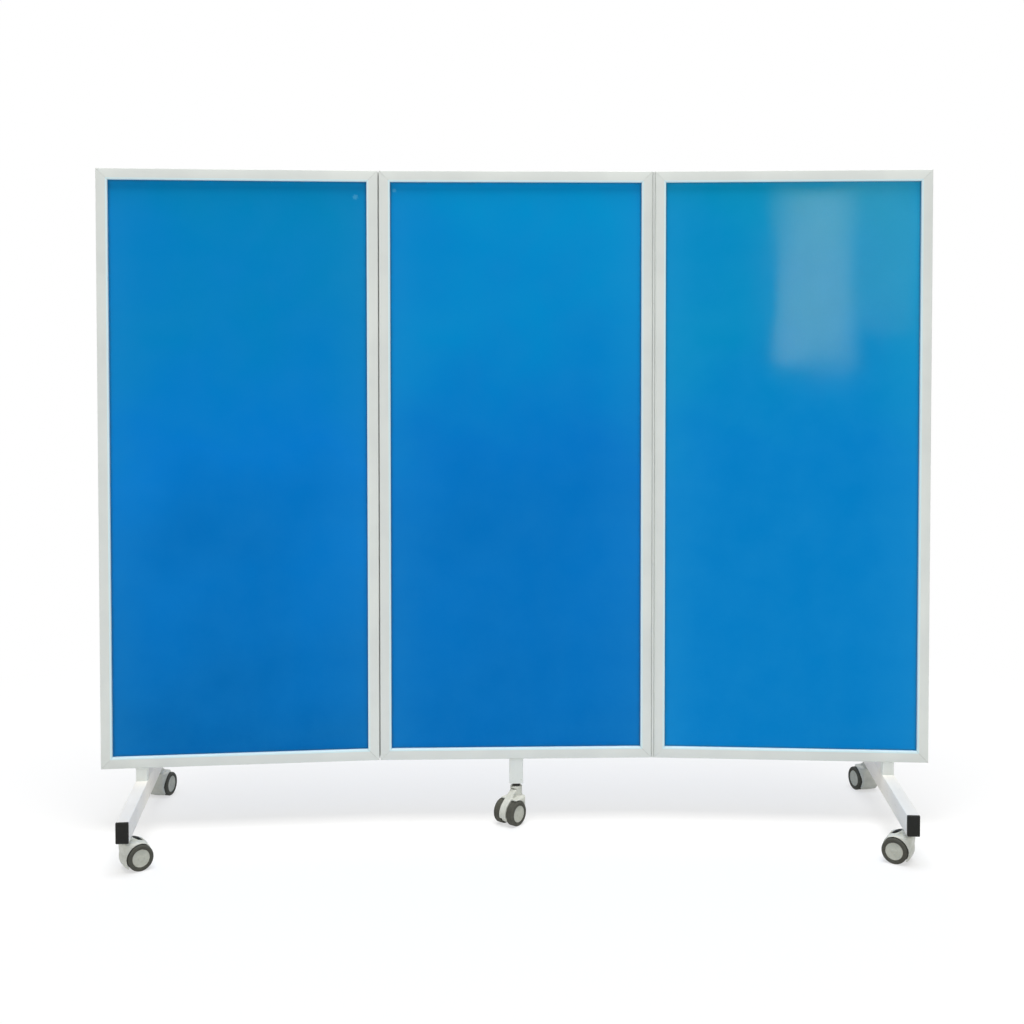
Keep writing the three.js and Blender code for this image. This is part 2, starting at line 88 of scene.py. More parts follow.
def panelPlace(wing):
    # X along the panel, Y to its back, Z up; the origin is on the floor below the middle of the sheet
    points = nodePoints(wing + "_sheet")
    lowest = points[points[:, 2] < points[:, 2].mean()]
    flat = lowest[:, :2] - lowest[:, :2].mean(0)
    spread, directions = np.linalg.eigh(flat.T @ flat)
    along = directions[:, int(np.argmax(spread))]
    return standing((points.min(0) + points.max(0)) / 2, along if along[0] > 0 else -along)


def casterPlace(caster):
    # X toward wheel a along the axle, Y from the king pin to the axle, Z up; the origin is on the floor
    return standing(joints[caster + "_swivel"]["pos_m"], joints[caster + "_wheel_a_spin"]["axis"])


bodyOf = {"left": "left_wing", "centre": "centre", "right": "right_wing"}
places = {wing: panelPlace(wing) for wing in bodyOf}
casters = {
    "left_front_caster": "left_wing",
    "left_back_caster": "left_wing",
    "right_front_caster": "right_wing",
    "right_back_caster": "right_wing",
    "centre_caster": "centre",
}


# material helpers


def colour(red, green, blue):
    # a colour as a painter would read it off a chart, 0 to 255, turned into light
    def toLight(part):
        share = part / 255
        return share / 12.92 if share <= 0.04045 else ((share + 0.055) / 1.055) ** 2.4

    return (toLight(red), toLight(green), toLight(blue), 1.0)


class Nodes:
    # one node tree; inputs are numbers or the outputs of other nodes
    def __init__(self, tree):
        tree.nodes.clear()
        self.tree = tree

    def add(self, kind, inputs=None, **settings):
        made = self.tree.nodes.new("ShaderNode" + kind)
        for key, value in settings.items():
            setattr(made, key, value)
        for key, value in (inputs or {}).items():
            if isinstance(value, bpy.types.NodeSocket):
                self.tree.links.new(value, made.inputs[key])
            else:
                made.inputs[key].default_value = value
        return made

    def sums(self, way, *values, clamp=False):
        result = values[0]
        for value in values[1:]:
            result = self.add("Math", {0: result, 1: value}, operation=way, use_clamp=clamp).outputs[0]
        return result

    def times(self, *values):
        return self.sums("MULTIPLY", *values)

    def mixed(self, share, first, second):
        return self.add("Mix", {0: share, 6: first, 7: second}, data_type="RGBA").outputs[2]

    def ranged(self, value, low, high, toLow=0.0, toHigh=1.0):
        inputs = {"Value": value, "From Min": low, "From Max": high, "To Min": toLow, "To Max": toHigh}
        return self.add("MapRange", inputs).outputs["Result"]

    def seen(self):
        # 1 for what the camera sees, straight or by way of a glossy or clear surface
        rays = self.add("LightPath").outputs
        return self.sums("MAXIMUM", rays["Is Camera Ray"], rays["Is Transmission Ray"], rays["Is Glossy Ray"])


class Paint(Nodes):
    # a material laid on in coats; noise is given as metres across, detail and roughness
    def __init__(self, name):
        self.material = bpy.data.materials.new(name)
        self.material.use_nodes = True
        super().__init__(self.material.node_tree)
        self.shader = self.add("BsdfPrincipled")
        self.output = self.add("OutputMaterial", {"Surface": self.shader.outputs["BSDF"]})
        self.place = self.add("TexCoord").outputs["Object"]
        self.base = None
        self.normal = None

    def noise(self, size, detail, roughness, stretch=(1, 1, 1)):
        scaled = self.add("Mapping", {"Vector": self.place, "Scale": stretch}).outputs[0]
        inputs = {"Vector": scaled, "Scale": 1 / size, "Detail": detail, "Roughness": roughness}
        return self.add("TexNoise", inputs).outputs["Fac"]

    def patches(self, size, detail, roughness, low, high, toLow=0.0, toHigh=1.0, stretch=(1, 1, 1)):
        # noise read from low to high
        return self.ranged(self.noise(size, detail, roughness, stretch), low, high, toLow, toHigh)

    def mark(self, name):
        return self.add("Attribute", attribute_name=name).outputs["Fac"]

    def coat(self, tone, share=None):
        tone = colour(*tone)
        self.base = tone if share is None else self.mixed(share, self.base, tone)

    def bump(self, height, strength, distance):
        # each bump rests on the one before
        inputs = {"Height": height, "Strength": strength, "Distance": distance}
        if self.normal is not None:
            inputs["Normal"] = self.normal
        self.normal = self.add("Bump", inputs).outputs["Normal"]

    def finish(self, rough, **plain):
        for key, value in (("Base Color", self.base), ("Roughness", rough), ("Normal", self.normal)):
            self.tree.links.new(value, self.shader.inputs[key])
        for key, value in plain.items():
            self.shader.inputs[key].default_value = value
        return self.material


# powder-coated steel of the frames, feet and hinges

framePaintLook = {
    "colour": (222, 226, 221),
    "cloudColour": (213, 217, 213),
    "clouds": (0.18, 3.0, 0.55, 0.35, 0.65),
    "lipHighlightColour": (208, 236, 242),
    "lipHighlightShare": 0.8,
    "edgeColour": (236, 239, 236),
    "rubbing": (0.012, 4.0, 0.7, 0.42, 0.6),
    "edgeWear": 0.55,
    "grimeColour": (150, 147, 136),
    "dust": (0.02, 4.0, 0.65, 0.4, 0.75),
    "grime": 0.45,
    "scratches": (0.006, 3.0, 0.6, 0.63, 0.72),
    "scratchStretch": (1, 0.12, 1),
    "scuffsBelow": (0.16, 0.11),
    "scuffs": 0.3,
    "sheen": (0.05, 3.0, 0.6, 0.3, 0.7, 0.45, 0.6),
    "soiledRoughness": 0.25,
    "specular": 0.3,
    "swell": (0.06, 2.0, 0.5),
    "orangePeel": (0.0018, 1.0, 0.4),
    "bumps": [(0.12, 0.0012), (0.16, 0.00016), (0.04, 0.0001)],
}
footPaintTones = {
    "colour": (236, 233, 226),
    "cloudColour": (229, 226, 219),
    "edgeColour": (242, 241, 236),
}


def makeFramePaint(name, look):
    paint = Paint(name)
    paint.coat(look["colour"])
    paint.coat(look["cloudColour"], paint.patches(*look["clouds"]))
    # painted highlight: a pale bluish line along the frame's inner lip, where the edge would catch the light
    paint.coat(look["lipHighlightColour"], paint.times(paint.mark("lip"), look["lipHighlightShare"]))
    worn = paint.times(paint.mark("edge"), paint.patches(*look["rubbing"]), look["edgeWear"])
    paint.coat(look["edgeColour"], worn)
    # dust lies in the joints, and scuffs low down where feet and mops reach
    dust = paint.times(paint.mark("crease"), paint.patches(*look["dust"]), look["grime"])
    height = paint.add("SeparateXYZ", {0: paint.place}).outputs["Z"]
    scratch = paint.patches(*look["scratches"], stretch=look["scratchStretch"])
    scuff = paint.times(scratch, paint.ranged(height, *look["scuffsBelow"]), look["scuffs"])
    soiled = paint.sums("MAXIMUM", dust, scuff)
    paint.coat(look["grimeColour"], soiled)
    sheen = paint.patches(*look["sheen"])
    rough = paint.sums("ADD", sheen, paint.times(soiled, look["soiledRoughness"]), clamp=True)
    heights = (paint.noise(*look["swell"]), paint.noise(*look["orangePeel"]), scratch)
    for height, size in zip(heights, look["bumps"]):
        paint.bump(height, *size)
    return paint.finish(rough, **{"Specular IOR Level": look["specular"]})


# glossy blue sheets

blueSheetLook = {
    # painted light: the tones run paler at the top and darker at the bottom as the light falls, and shade
    # makes each wing's three tones lighter or darker for the light on that wing
    "topColour": (0, 146, 207),
    "middleColour": (0, 128, 216),
    "bottomColour": (0, 115, 194),
    "shade": {"left": (0.96, 1.0, 0.95), "centre": (1.05, 0.97, 1.0), "right": (0.93, 0.93, 1.02)},
    "drift": (0.55, 2.0, 0.5),
    "driftShare": 0.9,
    # the pale tone of the mottle and the dust film, and of the painted light toward the sides
    "hazeAndSideLightColour": (40, 148, 214),
    "mottle": (0.09, 4.0, 0.6, 0.35, 0.7, 0.0, 0.12),
    "sideLightFrom": 0.5,
    "sideLightTo": 1.05,
    # painted light: how far in the sheet starts turning paler toward its two sides, and how much
    "paintedSideLight": 0.3,
    "edgeColour": (38, 104, 146),
    "edgeRagged": (0.03, 3.0, 0.6),
    "edgeBand": 0.008,
    "edgeLine": 0.002,
    "edgeShare": 0.75,
    "dustHeight": 0.25,
    "dust": (0.004, 3.0, 0.7, 0.56, 0.72),
    "dustShare": 0.35,
    "film": 0.3,
    "residueColour": (96, 186, 224),
    "residueTorn": (0.004, 3.0, 0.6),
    "residueEdge": (1.25, 0.9),
    "residueShare": 0.45,
    "wiped": (0.11, 3.0, 0.6, 0.45, 0.75, 0.07, 0.12),
    "wipedStretch": (1, 1, 0.25),
    "hairs": (0.0025, 2.0, 0.5, 0.66, 0.74, 0.0, 0.1),
    "hairStretch": (1, 1, 0.03),
    "specular": 0.03,
    "wave": (0.16, 1.0, 0.4),
    "orangePeel": (0.007, 2.0, 0.5),
    "bumps": [(0.2, 0.002), (0.05, 0.0003)],
}
# old sticker residue: the side of the sheet it is on, and how far in, down and across it is
residues = {"left": [(1, 0.028, 0.038, 0.011)], "centre": [(-1, 0.011, 0.021, 0.009)], "right": []}


def makeBlueSheet(wing, look, halfWidth, low, high):
    paint = Paint("blueSheet_" + wing)
    # painted light: each wing's tones are scaled by its shade, then blended from the bottom tone up to the
    # top tone
    tones = []
    for key, shade in zip(("bottom", "middle", "top"), reversed(look["shade"][wing])):
        tones.append([part * shade for part in look[key + "Colour"]])
    parts = paint.add("SeparateXYZ", {0: paint.place}).outputs
    height, fromMiddle = parts["Z"], paint.sums("ABSOLUTE", parts["X"], 0.0)
    drift = paint.times(paint.sums("SUBTRACT", paint.noise(*look["drift"]), 0.5), look["driftShare"])
    level = paint.sums("ADD", paint.ranged(height, low, high), drift, clamp=True)
    paint.coat(tones[0])
    paint.coat(tones[1], paint.ranged(level, 0.0, 0.5))
    paint.coat(tones[2], paint.ranged(level, 0.5, 1.0))
    paint.coat(look["hazeAndSideLightColour"], paint.patches(*look["mottle"]))
    # painted light: a little paler toward the two sides, as the light falls there
    beside = paint.ranged(fromMiddle, halfWidth * look["sideLightFrom"], halfWidth * look["sideLightTo"])
    paint.coat(look["hazeAndSideLightColour"], paint.times(beside, beside, look["paintedSideLight"]))
    # a darker line of shade and old polish along the frame's lip
    pairs = ((halfWidth, fromMiddle), (height, low), (high, height))
    ends = [paint.sums("SUBTRACT", *pair) for pair in pairs]
    ragged = paint.times(paint.noise(*look["edgeRagged"]), look["edgeBand"])
    inward = paint.sums("ADD", ragged, look["edgeLine"])
    rim = paint.ranged(paint.sums("MINIMUM", *ends), inward, 0.0)
    paint.coat(look["edgeColour"], paint.times(rim, look["edgeShare"]))
    # settled dust low on the sheet and a few wiped streaks
    settled = paint.times(paint.ranged(height, low + look["dustHeight"], low), look["dustShare"])
    film = paint.times(settled, paint.patches(*look["dust"]), look["film"])
    paint.coat(look["hazeAndSideLightColour"], film)
    for side, fromSide, fromTop, reach in residues[wing]:
        middle = (side * (halfWidth - fromSide), 0, high - fromTop)
        away = paint.add("VectorMath", {0: paint.place, 1: middle}, operation="DISTANCE").outputs["Value"]
        away = paint.sums("ADD", away, paint.times(paint.noise(*look["residueTorn"]), reach))
        outer, inner = (reach * share for share in look["residueEdge"])
        patch = paint.ranged(away, outer, inner, 0.0, look["residueShare"])
        paint.coat(look["residueColour"], paint.times(patch, paint.ranged(parts["Y"], 0.0, -mm)))
    wiped = paint.patches(*look["wiped"], stretch=look["wipedStretch"])
    hairs = paint.patches(*look["hairs"], stretch=look["hairStretch"])
    rough = paint.sums("ADD", wiped, hairs, film, clamp=True)
    for key, size in zip(("wave", "orangePeel"), look["bumps"]):
        paint.bump(paint.noise(*look[key]), *size)
    return paint.finish(rough, **{"Specular IOR Level": look["specular"]})


# moulded plastics: hoods, hubs, tyres, plugs and pedals; tones are plain, cloud, worn edge and grime

plasticLooks = {
    "hoodPlastic": {
        "tones": [(204, 205, 196), (192, 194, 184), (220, 221, 213), (128, 125, 112)],
        "roughness": (0.4, 0.55),
        "grain": (0.0011, 0.00012),
        "specular": 0.35,
        "grime": 0.5,
        "wear": 0.5,
    },
    "hubPlastic": {
        "tones": [(184, 185, 173), (172, 174, 162), (206, 207, 196), (112, 110, 98)],
        "roughness": (0.38, 0.5),
        "grain": (0.0009, 0.0001),
        "specular": 0.35,
        "grime": 0.6,
        "wear": 0.4,
    },
    "tyreRubber": {
        "tones": [(77, 77, 69), (66, 66, 59), (97, 97, 88), (124, 120, 108)],
        "roughness": (0.6, 0.78),
        "grain": (0.0008, 0.00018),
        "specular": 0.22,
        "grime": 0.55,
        "wear": 0.5,
    },
    "plugPlastic": {
        "tones": [(37, 37, 34), (31, 31, 29), (64, 64, 60), (92, 88, 80)],
        "roughness": (0.5, 0.64),
        "grain": (0.0009, 0.0002),
        "specular": 0.16,
        "grime": 0.25,
        "wear": 0.5,
    },
    "pedalPlastic": {
        "tones": [(38, 39, 36), (31, 32, 30), (62, 63, 59), (96, 92, 82)],
        "roughness": (0.5, 0.66),
        "grain": (0.0008, 0.00016),
        "specular": 0.14,
        "grime": 0.35,
        "wear": 0.6,
    },
}
plasticNoise = {
    "clouds": (0.018, 4.0, 0.6, 0.35, 0.68),
    "rubbing": (0.005, 4.0, 0.7, 0.38, 0.6),
    "dust": (0.007, 5.0, 0.7, 0.45, 0.7),
    "specks": (0.0022, 2.0, 0.6, 0.66, 0.74, 0.0, 0.4),
    "sheen": (0.012, 3.0, 0.6, 0.3, 0.7),
    "soiledRoughness": 0.3,
    "sink": (0.014, 1.0, 0.4),
    "sinkBump": (0.15, 0.0004),
    "grain": (2.0, 0.6),
    "grainStrength": 0.35,
}


def makePlastic(name, look, noise):
    paint = Paint(name)
    plain, cloud, worn, grime = look["tones"]
    paint.coat(plain)
    paint.coat(cloud, paint.patches(*noise["clouds"]))
    paint.coat(worn, paint.times(paint.mark("edge"), paint.patches(*noise["rubbing"]), look["wear"]))
    dust = paint.times(paint.mark("crease"), paint.patches(*noise["dust"]))
    soil = paint.times(paint.sums("MAXIMUM", dust, paint.patches(*noise["specks"])), look["grime"])
    paint.coat(grime, soil)
    sheen = paint.patches(*noise["sheen"], *look["roughness"])
    rough = paint.sums("ADD", sheen, paint.times(soil, noise["soiledRoughness"]), clamp=True)
    grain, depth = look["grain"]
    paint.bump(paint.noise(*noise["sink"]), *noise["sinkBump"])
    paint.bump(paint.noise(grain, *noise["grain"]), noise["grainStrength"], depth)
    return paint.finish(rough, **{"Specular IOR Level": look["specular"]})


# zinc-plated axles and hinge pins, darker caster stems

steelLooks = {
    "zincPlate": {"tones": [(178, 180, 180), (146, 147, 145), (214, 215, 214)], "roughness": (0.26, 0.42)},
    "darkSteel": {"tones": [(84, 85, 82), (62, 62, 59), (120, 121, 118)], "roughness": (0.36, 0.52)},
}
steelNoise = {
    "spangle": (0.006, 4.0, 0.7, 0.35, 0.7),
    "edgeWear": 0.4,
    "turning": (0.0006, 1.0, 0.5, (0.05, 0.05, 1)),
    "turningBump": (0.2, 0.00008),
    "metallic": 0.92,
}


def makeSteel(name, look, noise):
    paint = Paint(name)
    plain, dull, worn = look["tones"]
    spangle = paint.patches(*noise["spangle"])
    paint.coat(plain)
    paint.coat(dull, spangle)
    paint.coat(worn, paint.times(paint.mark("edge"), noise["edgeWear"]))
    rough = paint.ranged(spangle, 0.0, 1.0, *look["roughness"])
    paint.bump(paint.noise(*noise["turning"]), *noise["turningBump"])
    return paint.finish(rough, Metallic=noise["metallic"])


framePaint = makeFramePaint("framePaint", framePaintLook)
footPaint = makeFramePaint("footPaint", {**framePaintLook, **footPaintTones})
plastics = {name: makePlastic(name, look, plasticNoise) for name, look in plasticLooks.items()}
steels = {name: makeSteel(name, look, steelNoise) for name, look in steelLooks.items()}
print("materials mixed:", len(bpy.data.materials))


# mesh helpers; marks are point values that the materials read: edge, crease and lip, the lip mark carrying a
# painted highlight


class Shape:
    def __init__(self):
        self.points = []
        self.faces = []
        self.marks = {"edge": [], "crease": [], "lip": []}

    def add(self, points, faces, **marks):
        start = len(self.points)
        self.points += [tuple(point) for point in points]
        self.faces += [tuple(start + corner for corner in face) for face in faces]
        for mark, values in self.marks.items():
            values += marks.get(mark, [0.0] * len(points))
        return self


def bothEnds(rows, low, high):
    # rows start with their distance from an end: set in from the low end, then mirrored from the high end
    return [(low + at, *rest) for at, *rest in rows] + [(high - at, *rest) for at, *rest in reversed(rows)]


def gridFaces(rings, count, closed=False):
    # faces between rings of points, each ring closed on itself; closed joins the last ring to the first
    faces = []
    for ring in range(rings if closed else rings - 1):
        a, b = ring * count, (ring + 1) % rings * count
        faces += [(a + i, a + (i + 1) % count, b + (i + 1) % count, b + i) for i in range(count)]
    return faces


def loft(shape, loops, **marks):
    # joins rings of points into a skin with capped ends
    # marks hold one value per ring point, or one list per ring
    count = len(loops[0])
    faces = gridFaces(len(loops), count)
    faces.append(tuple(reversed(range(count))))
    faces.append(tuple((len(loops) - 1) * count + i for i in range(count)))
    spread = {}
    for mark, values in marks.items():
        rings = values if isinstance(values[0], (list, tuple)) else [values] * len(loops)
        spread[mark] = [value for ring in rings for value in ring]
    return shape.add([point for loop in loops for point in loop], faces, **spread)


def lathe(shape, rows, steps, closed=False):
    # rows are (height, radius, edge, crease) round Z; closed joins the last to the first
    points, faces = [], []
    count = len(rows)
    for step in range(steps):
        turn = 2 * math.pi * step / steps
        points += [(radius * math.cos(turn), radius * math.sin(turn), height) for height, radius, *_ in rows]
        here, onward = step * count, (step + 1) % steps * count
        for k in range(count if closed else count - 1):
            n = (k + 1) % count
            faces.append((here + k, onward + k, onward + n, here + n))
    if not closed:
        faces.append(tuple(step * count for step in reversed(range(steps))))
        faces.append(tuple(step * count + count - 1 for step in range(steps)))
    edge, crease = [row[2] for row in rows], [row[3] for row in rows]
    return shape.add(points, faces, edge=edge * steps, crease=crease * steps)


def quarter(size, steps):
    # a quarter turn in steps: how far it has risen, what reach is left, and how far it is into the edge
    for step in range(steps + 1):
        turn = math.pi / 2 * step / steps
        yield size * math.sin(turn), size * math.cos(turn), math.sin(2 * turn)


def roundedOutline(corners, steps=4):
    # corners are (x, y, radius) at right angles, in order
    # returns the points and how far each is into an edge
    points, edges = [], []
    for i, (x, y, radius) in enumerate(corners):
        here = Vector((x, y))
        before = Vector(corners[i - 1][:2]) - here
        after = Vector(corners[(i + 1) % len(corners)][:2]) - here
        before.normalize()
        after.normalize()
        if radius <= 0:
            points.append(here)
            edges.append(0.0)
            continue
        centre = here + (before + after) * radius
        for rise, reach, edge in quarter(radius, steps):
            points.append(centre - after * reach - before * rise)
            edges.append(edge)
    return points, edges


def oblong(width, depth, edge, steps=5):
    x, y = width / 2, depth / 2
    return roundedOutline([(-x, -y, edge), (x, -y, edge), (x, y, edge), (-x, y, edge)], steps)


def shrunk(points, inset):
    # moves each point of an anticlockwise outline inward
    moved = []
    for i, point in enumerate(points):
        along = points[(i + 1) % len(points)] - points[i - 1]
        along.normalize()
        moved.append(point + Vector((-along.y, along.x)) * inset)
    return moved


def makeMesh(name, points, faces):
    mesh = bpy.data.meshes.new(name)
    mesh.from_pydata(points, [], faces)
    return mesh


def put(name, data, place=Matrix.Identity(4)):
    # an object in the scene, at a place
    made = bpy.data.objects.new(name, data)
    bpy.context.scene.collection.objects.link(made)
    made.matrix_world = place
    return made


def piece(nodeName, ending, shape, place, material, body, sharp=40):
    mesh = makeMesh(nodeName + ending, shape.points, shape.faces)
    for mark, values in shape.marks.items():
        layer = mesh.attributes.new(mark, "FLOAT", "POINT")
        layer.data.foreach_set("value", np.array(values, np.float32))
    tidy = bmesh.new()
    tidy.from_mesh(mesh)
    bmesh.ops.recalc_face_normals(tidy, faces=tidy.faces)
    for line in tidy.edges:
        line.smooth = len(line.link_faces) == 2 and line.calc_face_angle(0) < math.radians(sharp)
    for face in tidy.faces:
        face.smooth = True
    tidy.to_mesh(mesh)
    tidy.free()
    mesh.materials.append(material)
    made = put(mesh.name, mesh, place)
    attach(made, body)
    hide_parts(nodeName)


# framed panels: four mitred tubes and a sheet each

tubeLook = {
    "outerEdge": 1.8 * mm,
    "lipEdge": 0.9 * mm,
    # how wide the painted highlight along the inner lip runs, and how it fades in
    "lipHighlightBand": 4.6 * mm,
    "lipHighlightFade": 0.3 * mm,
    "grooveDepth": 7 * mm,
    "grooveGap": 0.15 * mm,
    # from a mitre inward: distance, inset and soil
    "mitre": [(0.04 * mm, 0.35 * mm, 1.0), (0.39 * mm, 0.0, 0.9), (1.44 * mm, 0.0, 0.0)],
}


def tubeOutline(tube, sheet, look):
    # X runs from the panel's outside edge inward, Y from front to back
    half = tube / 2
    lip = sheet / 2 + look["grooveGap"]
    floor = tube - look["grooveDepth"]
    outer, inner, fade = look["outerEdge"], look["lipEdge"], look["lipHighlightFade"]
    band = tube - look["lipHighlightBand"]
    corners = [(0, -half, outer), (band - fade, -half, 0), (band, -half, 0), (tube, -half, outer)]
    corners += [(tube, -lip, inner), (floor, -lip, 0)]
    corners += [(x, -y, radius) for x, y, radius in reversed(corners)]
    points, edges = roundedOutline(corners)
    creases = [1.0 if floor - mm / 10 < p.x and abs(p.y) < lip + inner / 2 else 0.0 for p in points]
    # the points that carry the painted highlight along the inner lip
    lipHighlights = [1.0 if p.x > band - fade / 2 and abs(p.y) > lip else 0.0 for p in points]
    return points, edges, creases, lipHighlights


def mitredTube(start, end, inward, outline, look):
    points, edges, creases, lipHighlights = outline
    along = (end - start).normalized()
    thin = shrunk(points, look["mitre"][0][1])
    loops, crease = [], []
    for origin, way, rows in ((start, along, look["mitre"]), (end, -along, look["mitre"][::-1])):
        for fromEnd, inset, soil in rows:
            ring = thin if inset else points
            loops.append([origin + inward * p.x + back * p.y + way * (p.x + fromEnd) for p in ring])
            crease.append([max(soil, value) for value in creases])
    return loft(Shape(), loops, edge=edges, crease=crease, lip=lipHighlights)


def makeFrame(wing):
    place = places[wing]
    stiles = ["_stile_left", "_stile_right"] if wing == "centre" else ["_stile_outer", "_stile_inner"]
    if wing == "right":
        stiles.reverse()
    low, high = boxIn(place, wing + stiles[0])
    left, tube = low.x, high.x - low.x
    right = boxIn(place, wing + stiles[1])[1].x
    sheetLow, sheetHigh = boxIn(place, wing + "_sheet")
    outline = tubeOutline(tube, sheetHigh.y - sheetLow.y, tubeLook)
    ends = [(left, low.z), (right, low.z), (right, high.z), (left, high.z)]
    corners = [Vector((x, 0, z)) for x, z in ends]
    runs = [(stiles[0], 0, 3, across), (stiles[1], 1, 2, -across)]
    runs += [("_rail_bottom", 0, 1, up), ("_rail_top", 3, 2, -up)]
    for label, start, end, inward in runs:
        shape = mitredTube(corners[start], corners[end], inward, outline, tubeLook)
        piece(wing + label, "_tube", shape, place, framePaint, bodyOf[wing])


sheetLook = {
    "columns": 28,
    "rows": 56,
    "wave": 0.35 * mm,
    # bends across and up the sheet, and how far they shift from one sheet to the next
    "bends": (9.1, 6.3),
    "shift": 2.3,
    "ripple": (17, 0.5),
}


def makeSheet(wing, number):
    place = places[wing]
    low, high = boxIn(place, wing + "_sheet")
    columns, rows = sheetLook["columns"], sheetLook["rows"]
    (bendX, bendZ), (ripple, rippleShare) = sheetLook["bends"], sheetLook["ripple"]
    points = []
    # each row of points goes along the front and comes back along the back
    walk = [(i, low.y) for i in range(columns + 1)] + [(i, high.y) for i in range(columns, -1, -1)]
    for j in range(rows + 1):
        z = low.z + (high.z - low.z) * j / rows
        for i, y in walk:
            x = low.x + (high.x - low.x) * i / columns
            hold = math.sin(math.pi * i / columns) * math.sin(math.pi * j / rows)
            bend = math.sin(bendX * x + sheetLook["shift"] * number) * math.cos(bendZ * z + number)
            bend += rippleShare * math.sin(ripple * z - x)
            points.append((x, y + sheetLook["wave"] * hold * bend, z))
    count = len(walk)
    faces = gridFaces(rows + 1, count)
    for a in (0, rows * count):
        b = a + count - 1
        faces += [(a + i, a + i + 1, b - i - 1, b - i) for i in range(columns)]
    seen = tubeLook["grooveDepth"]
    blue = makeBlueSheet(wing, blueSheetLook, high.x - seen, low.z + seen, high.z - seen)
    shape = Shape().add(points, faces)
    piece(wing + "_sheet", "_glossy", shape, place, blue, bodyOf[wing])


for number, wing in enumerate(places):
    makeFrame(wing)
    makeSheet(wing, number)
print("panels framed:", ", ".join(places))


# full-height knuckle hinges

hingeLook = {
    "leaf": 0.9 * mm,
    "pinRadius": 1.2 * mm,
    "pinGap": 0.1 * mm,
    "pinTip": 0.4,
    "knuckles": 9,
    "knuckleGap": 0.3 * mm,
    "chamfer": 0.35 * mm,
    "round": 28,
    "pinRound": 20,
}


def rolledLeaf(strip, bottom, pitch, first):
    # a flat strip with every other knuckle rolled round the pin; the node's points tell which side it lies on
    low, high = Vector(strip.min(0)), Vector(strip.max(0))
    radius = min(-low.x, high.x)
    reach = low.y if abs(low.y) > abs(high.y) else high.y
    flat = strip[np.abs(strip[:, 1]) > abs(reach) * 0.9]
    outside = 1 if flat[:, 0].mean() > 0 else -1
    behind = 1 if reach > 0 else -1
    leaf, gap, cut = hingeLook["leaf"], hingeLook["knuckleGap"], hingeLook["chamfer"]
    x1, x2 = sorted((outside * radius, outside * (radius - leaf)))
    y1, y2 = sorted((behind * (radius + gap), reach))
    corners = [(x, y, leaf / 4) for x, y in ((x1, y1), (x2, y1), (x2, y2), (x1, y2))]
    outline, edges = roundedOutline(corners, 2)
    shape = loft(Shape(), [[(p.x, p.y, z) for p in outline] for z in (low.z, high.z)], edge=edges)
    bore = hingeLook["pinRadius"] + hingeLook["pinGap"]
    rows = [(0, bore, 0, 1), (0, radius - cut, 1, 1), (cut, radius, 1, 0.6), (3 * cut, radius, 0, 0)]
    t1, t2 = sorted((0, behind * (radius + gap + leaf / 2)))
    for k in range(first, hingeLook["knuckles"], 2):
        z1 = bottom + k * pitch + gap / 2
        z2 = z1 + pitch - gap
        lathe(shape, bothEnds(rows, z1, z2), hingeLook["round"], closed=True)
        loft(shape, [[(x1, t1, z), (x2, t1, z), (x2, t2, z), (x1, t2, z)] for z in (z1, z2)])
    return shape


def makeHinge(side):
    axis = joints[side + "_wing_fold"]["pos_m"]
    upright = standing(axis, across)
    pinLow, pinHigh = boxIn(upright, side + "_hinge_pin")
    fixedLow, fixedHigh = boxIn(upright, side + "_hinge_leaf_fixed")
    pitch = (fixedHigh.z - fixedLow.z) / hingeLook["knuckles"]
    for label, wing, first in (("fixed", "centre", 0), ("moving", side, 1)):
        leafName = side + "_hinge_leaf_" + label
        place = standing(axis, places[wing].to_3x3() @ across)
        shape = rolledLeaf(pointsIn(place, leafName), pinLow.z, pitch, first)
        piece(leafName, "_rolled", shape, place, framePaint, bodyOf[wing])
    r, cut = hingeLook["pinRadius"], hingeLook["chamfer"]
    rows = [(0, hingeLook["pinTip"] * r, 0, 0), (cut / 3, r - cut, 1, 0), (cut, r, 0, 0)]
    shape = lathe(Shape(), bothEnds(rows, pinLow.z, pinHigh.z), hingeLook["pinRound"])
    piece(side + "_hinge_pin", "_turned", shape, upright, steels["zincPlate"], "centre")


for side in ("left", "right"):
    makeHinge(side)
print("hinges hung: left, right")


# feet: bar, plugs, post with its welds; the centre panel's leg

footLook = {
    "barEdge": 2.5 * mm,
    "postEdge": 1.8 * mm,
    "postEnd": 0.2 * mm,
    "weldGap": 0.25 * mm,
    "endEdge": 0.6 * mm,
    "bead": 1.3 * mm,
    "beadRipple": 0.22,
    "beadPitch": 2.4 * mm,
    "beadSwell": 0.25,
    "beadSteps": 4,
}


def tubeRun(middle, xAxis, yAxis, length, width, depth, edge, endEdge):
    # a tube from middle along the third direction, its ends softly broken
    outline, edges = oblong(width, depth, edge)
    ones, none = [1.0] * len(outline), [0.0] * len(outline)
    rows = [(0, endEdge, ones, ones), (endEdge / 4, endEdge / 4, ones, ones)]
    rows += [(endEdge, 0.0, edges, ones), (5 * endEdge, 0.0, edges, none)]
    loops, wear, soil = [], [], []
    for at, inset, worn, soiled in bothEnds(rows, 0, length):
        ring = shrunk(outline, inset) if inset else outline
        base = middle + xAxis.cross(yAxis) * at
        loops.append([base + xAxis * p.x + yAxis * p.y for p in ring])
        wear.append(worn)
        soil.append(soiled)
    return loft(Shape(), loops, edge=wear, crease=soil)


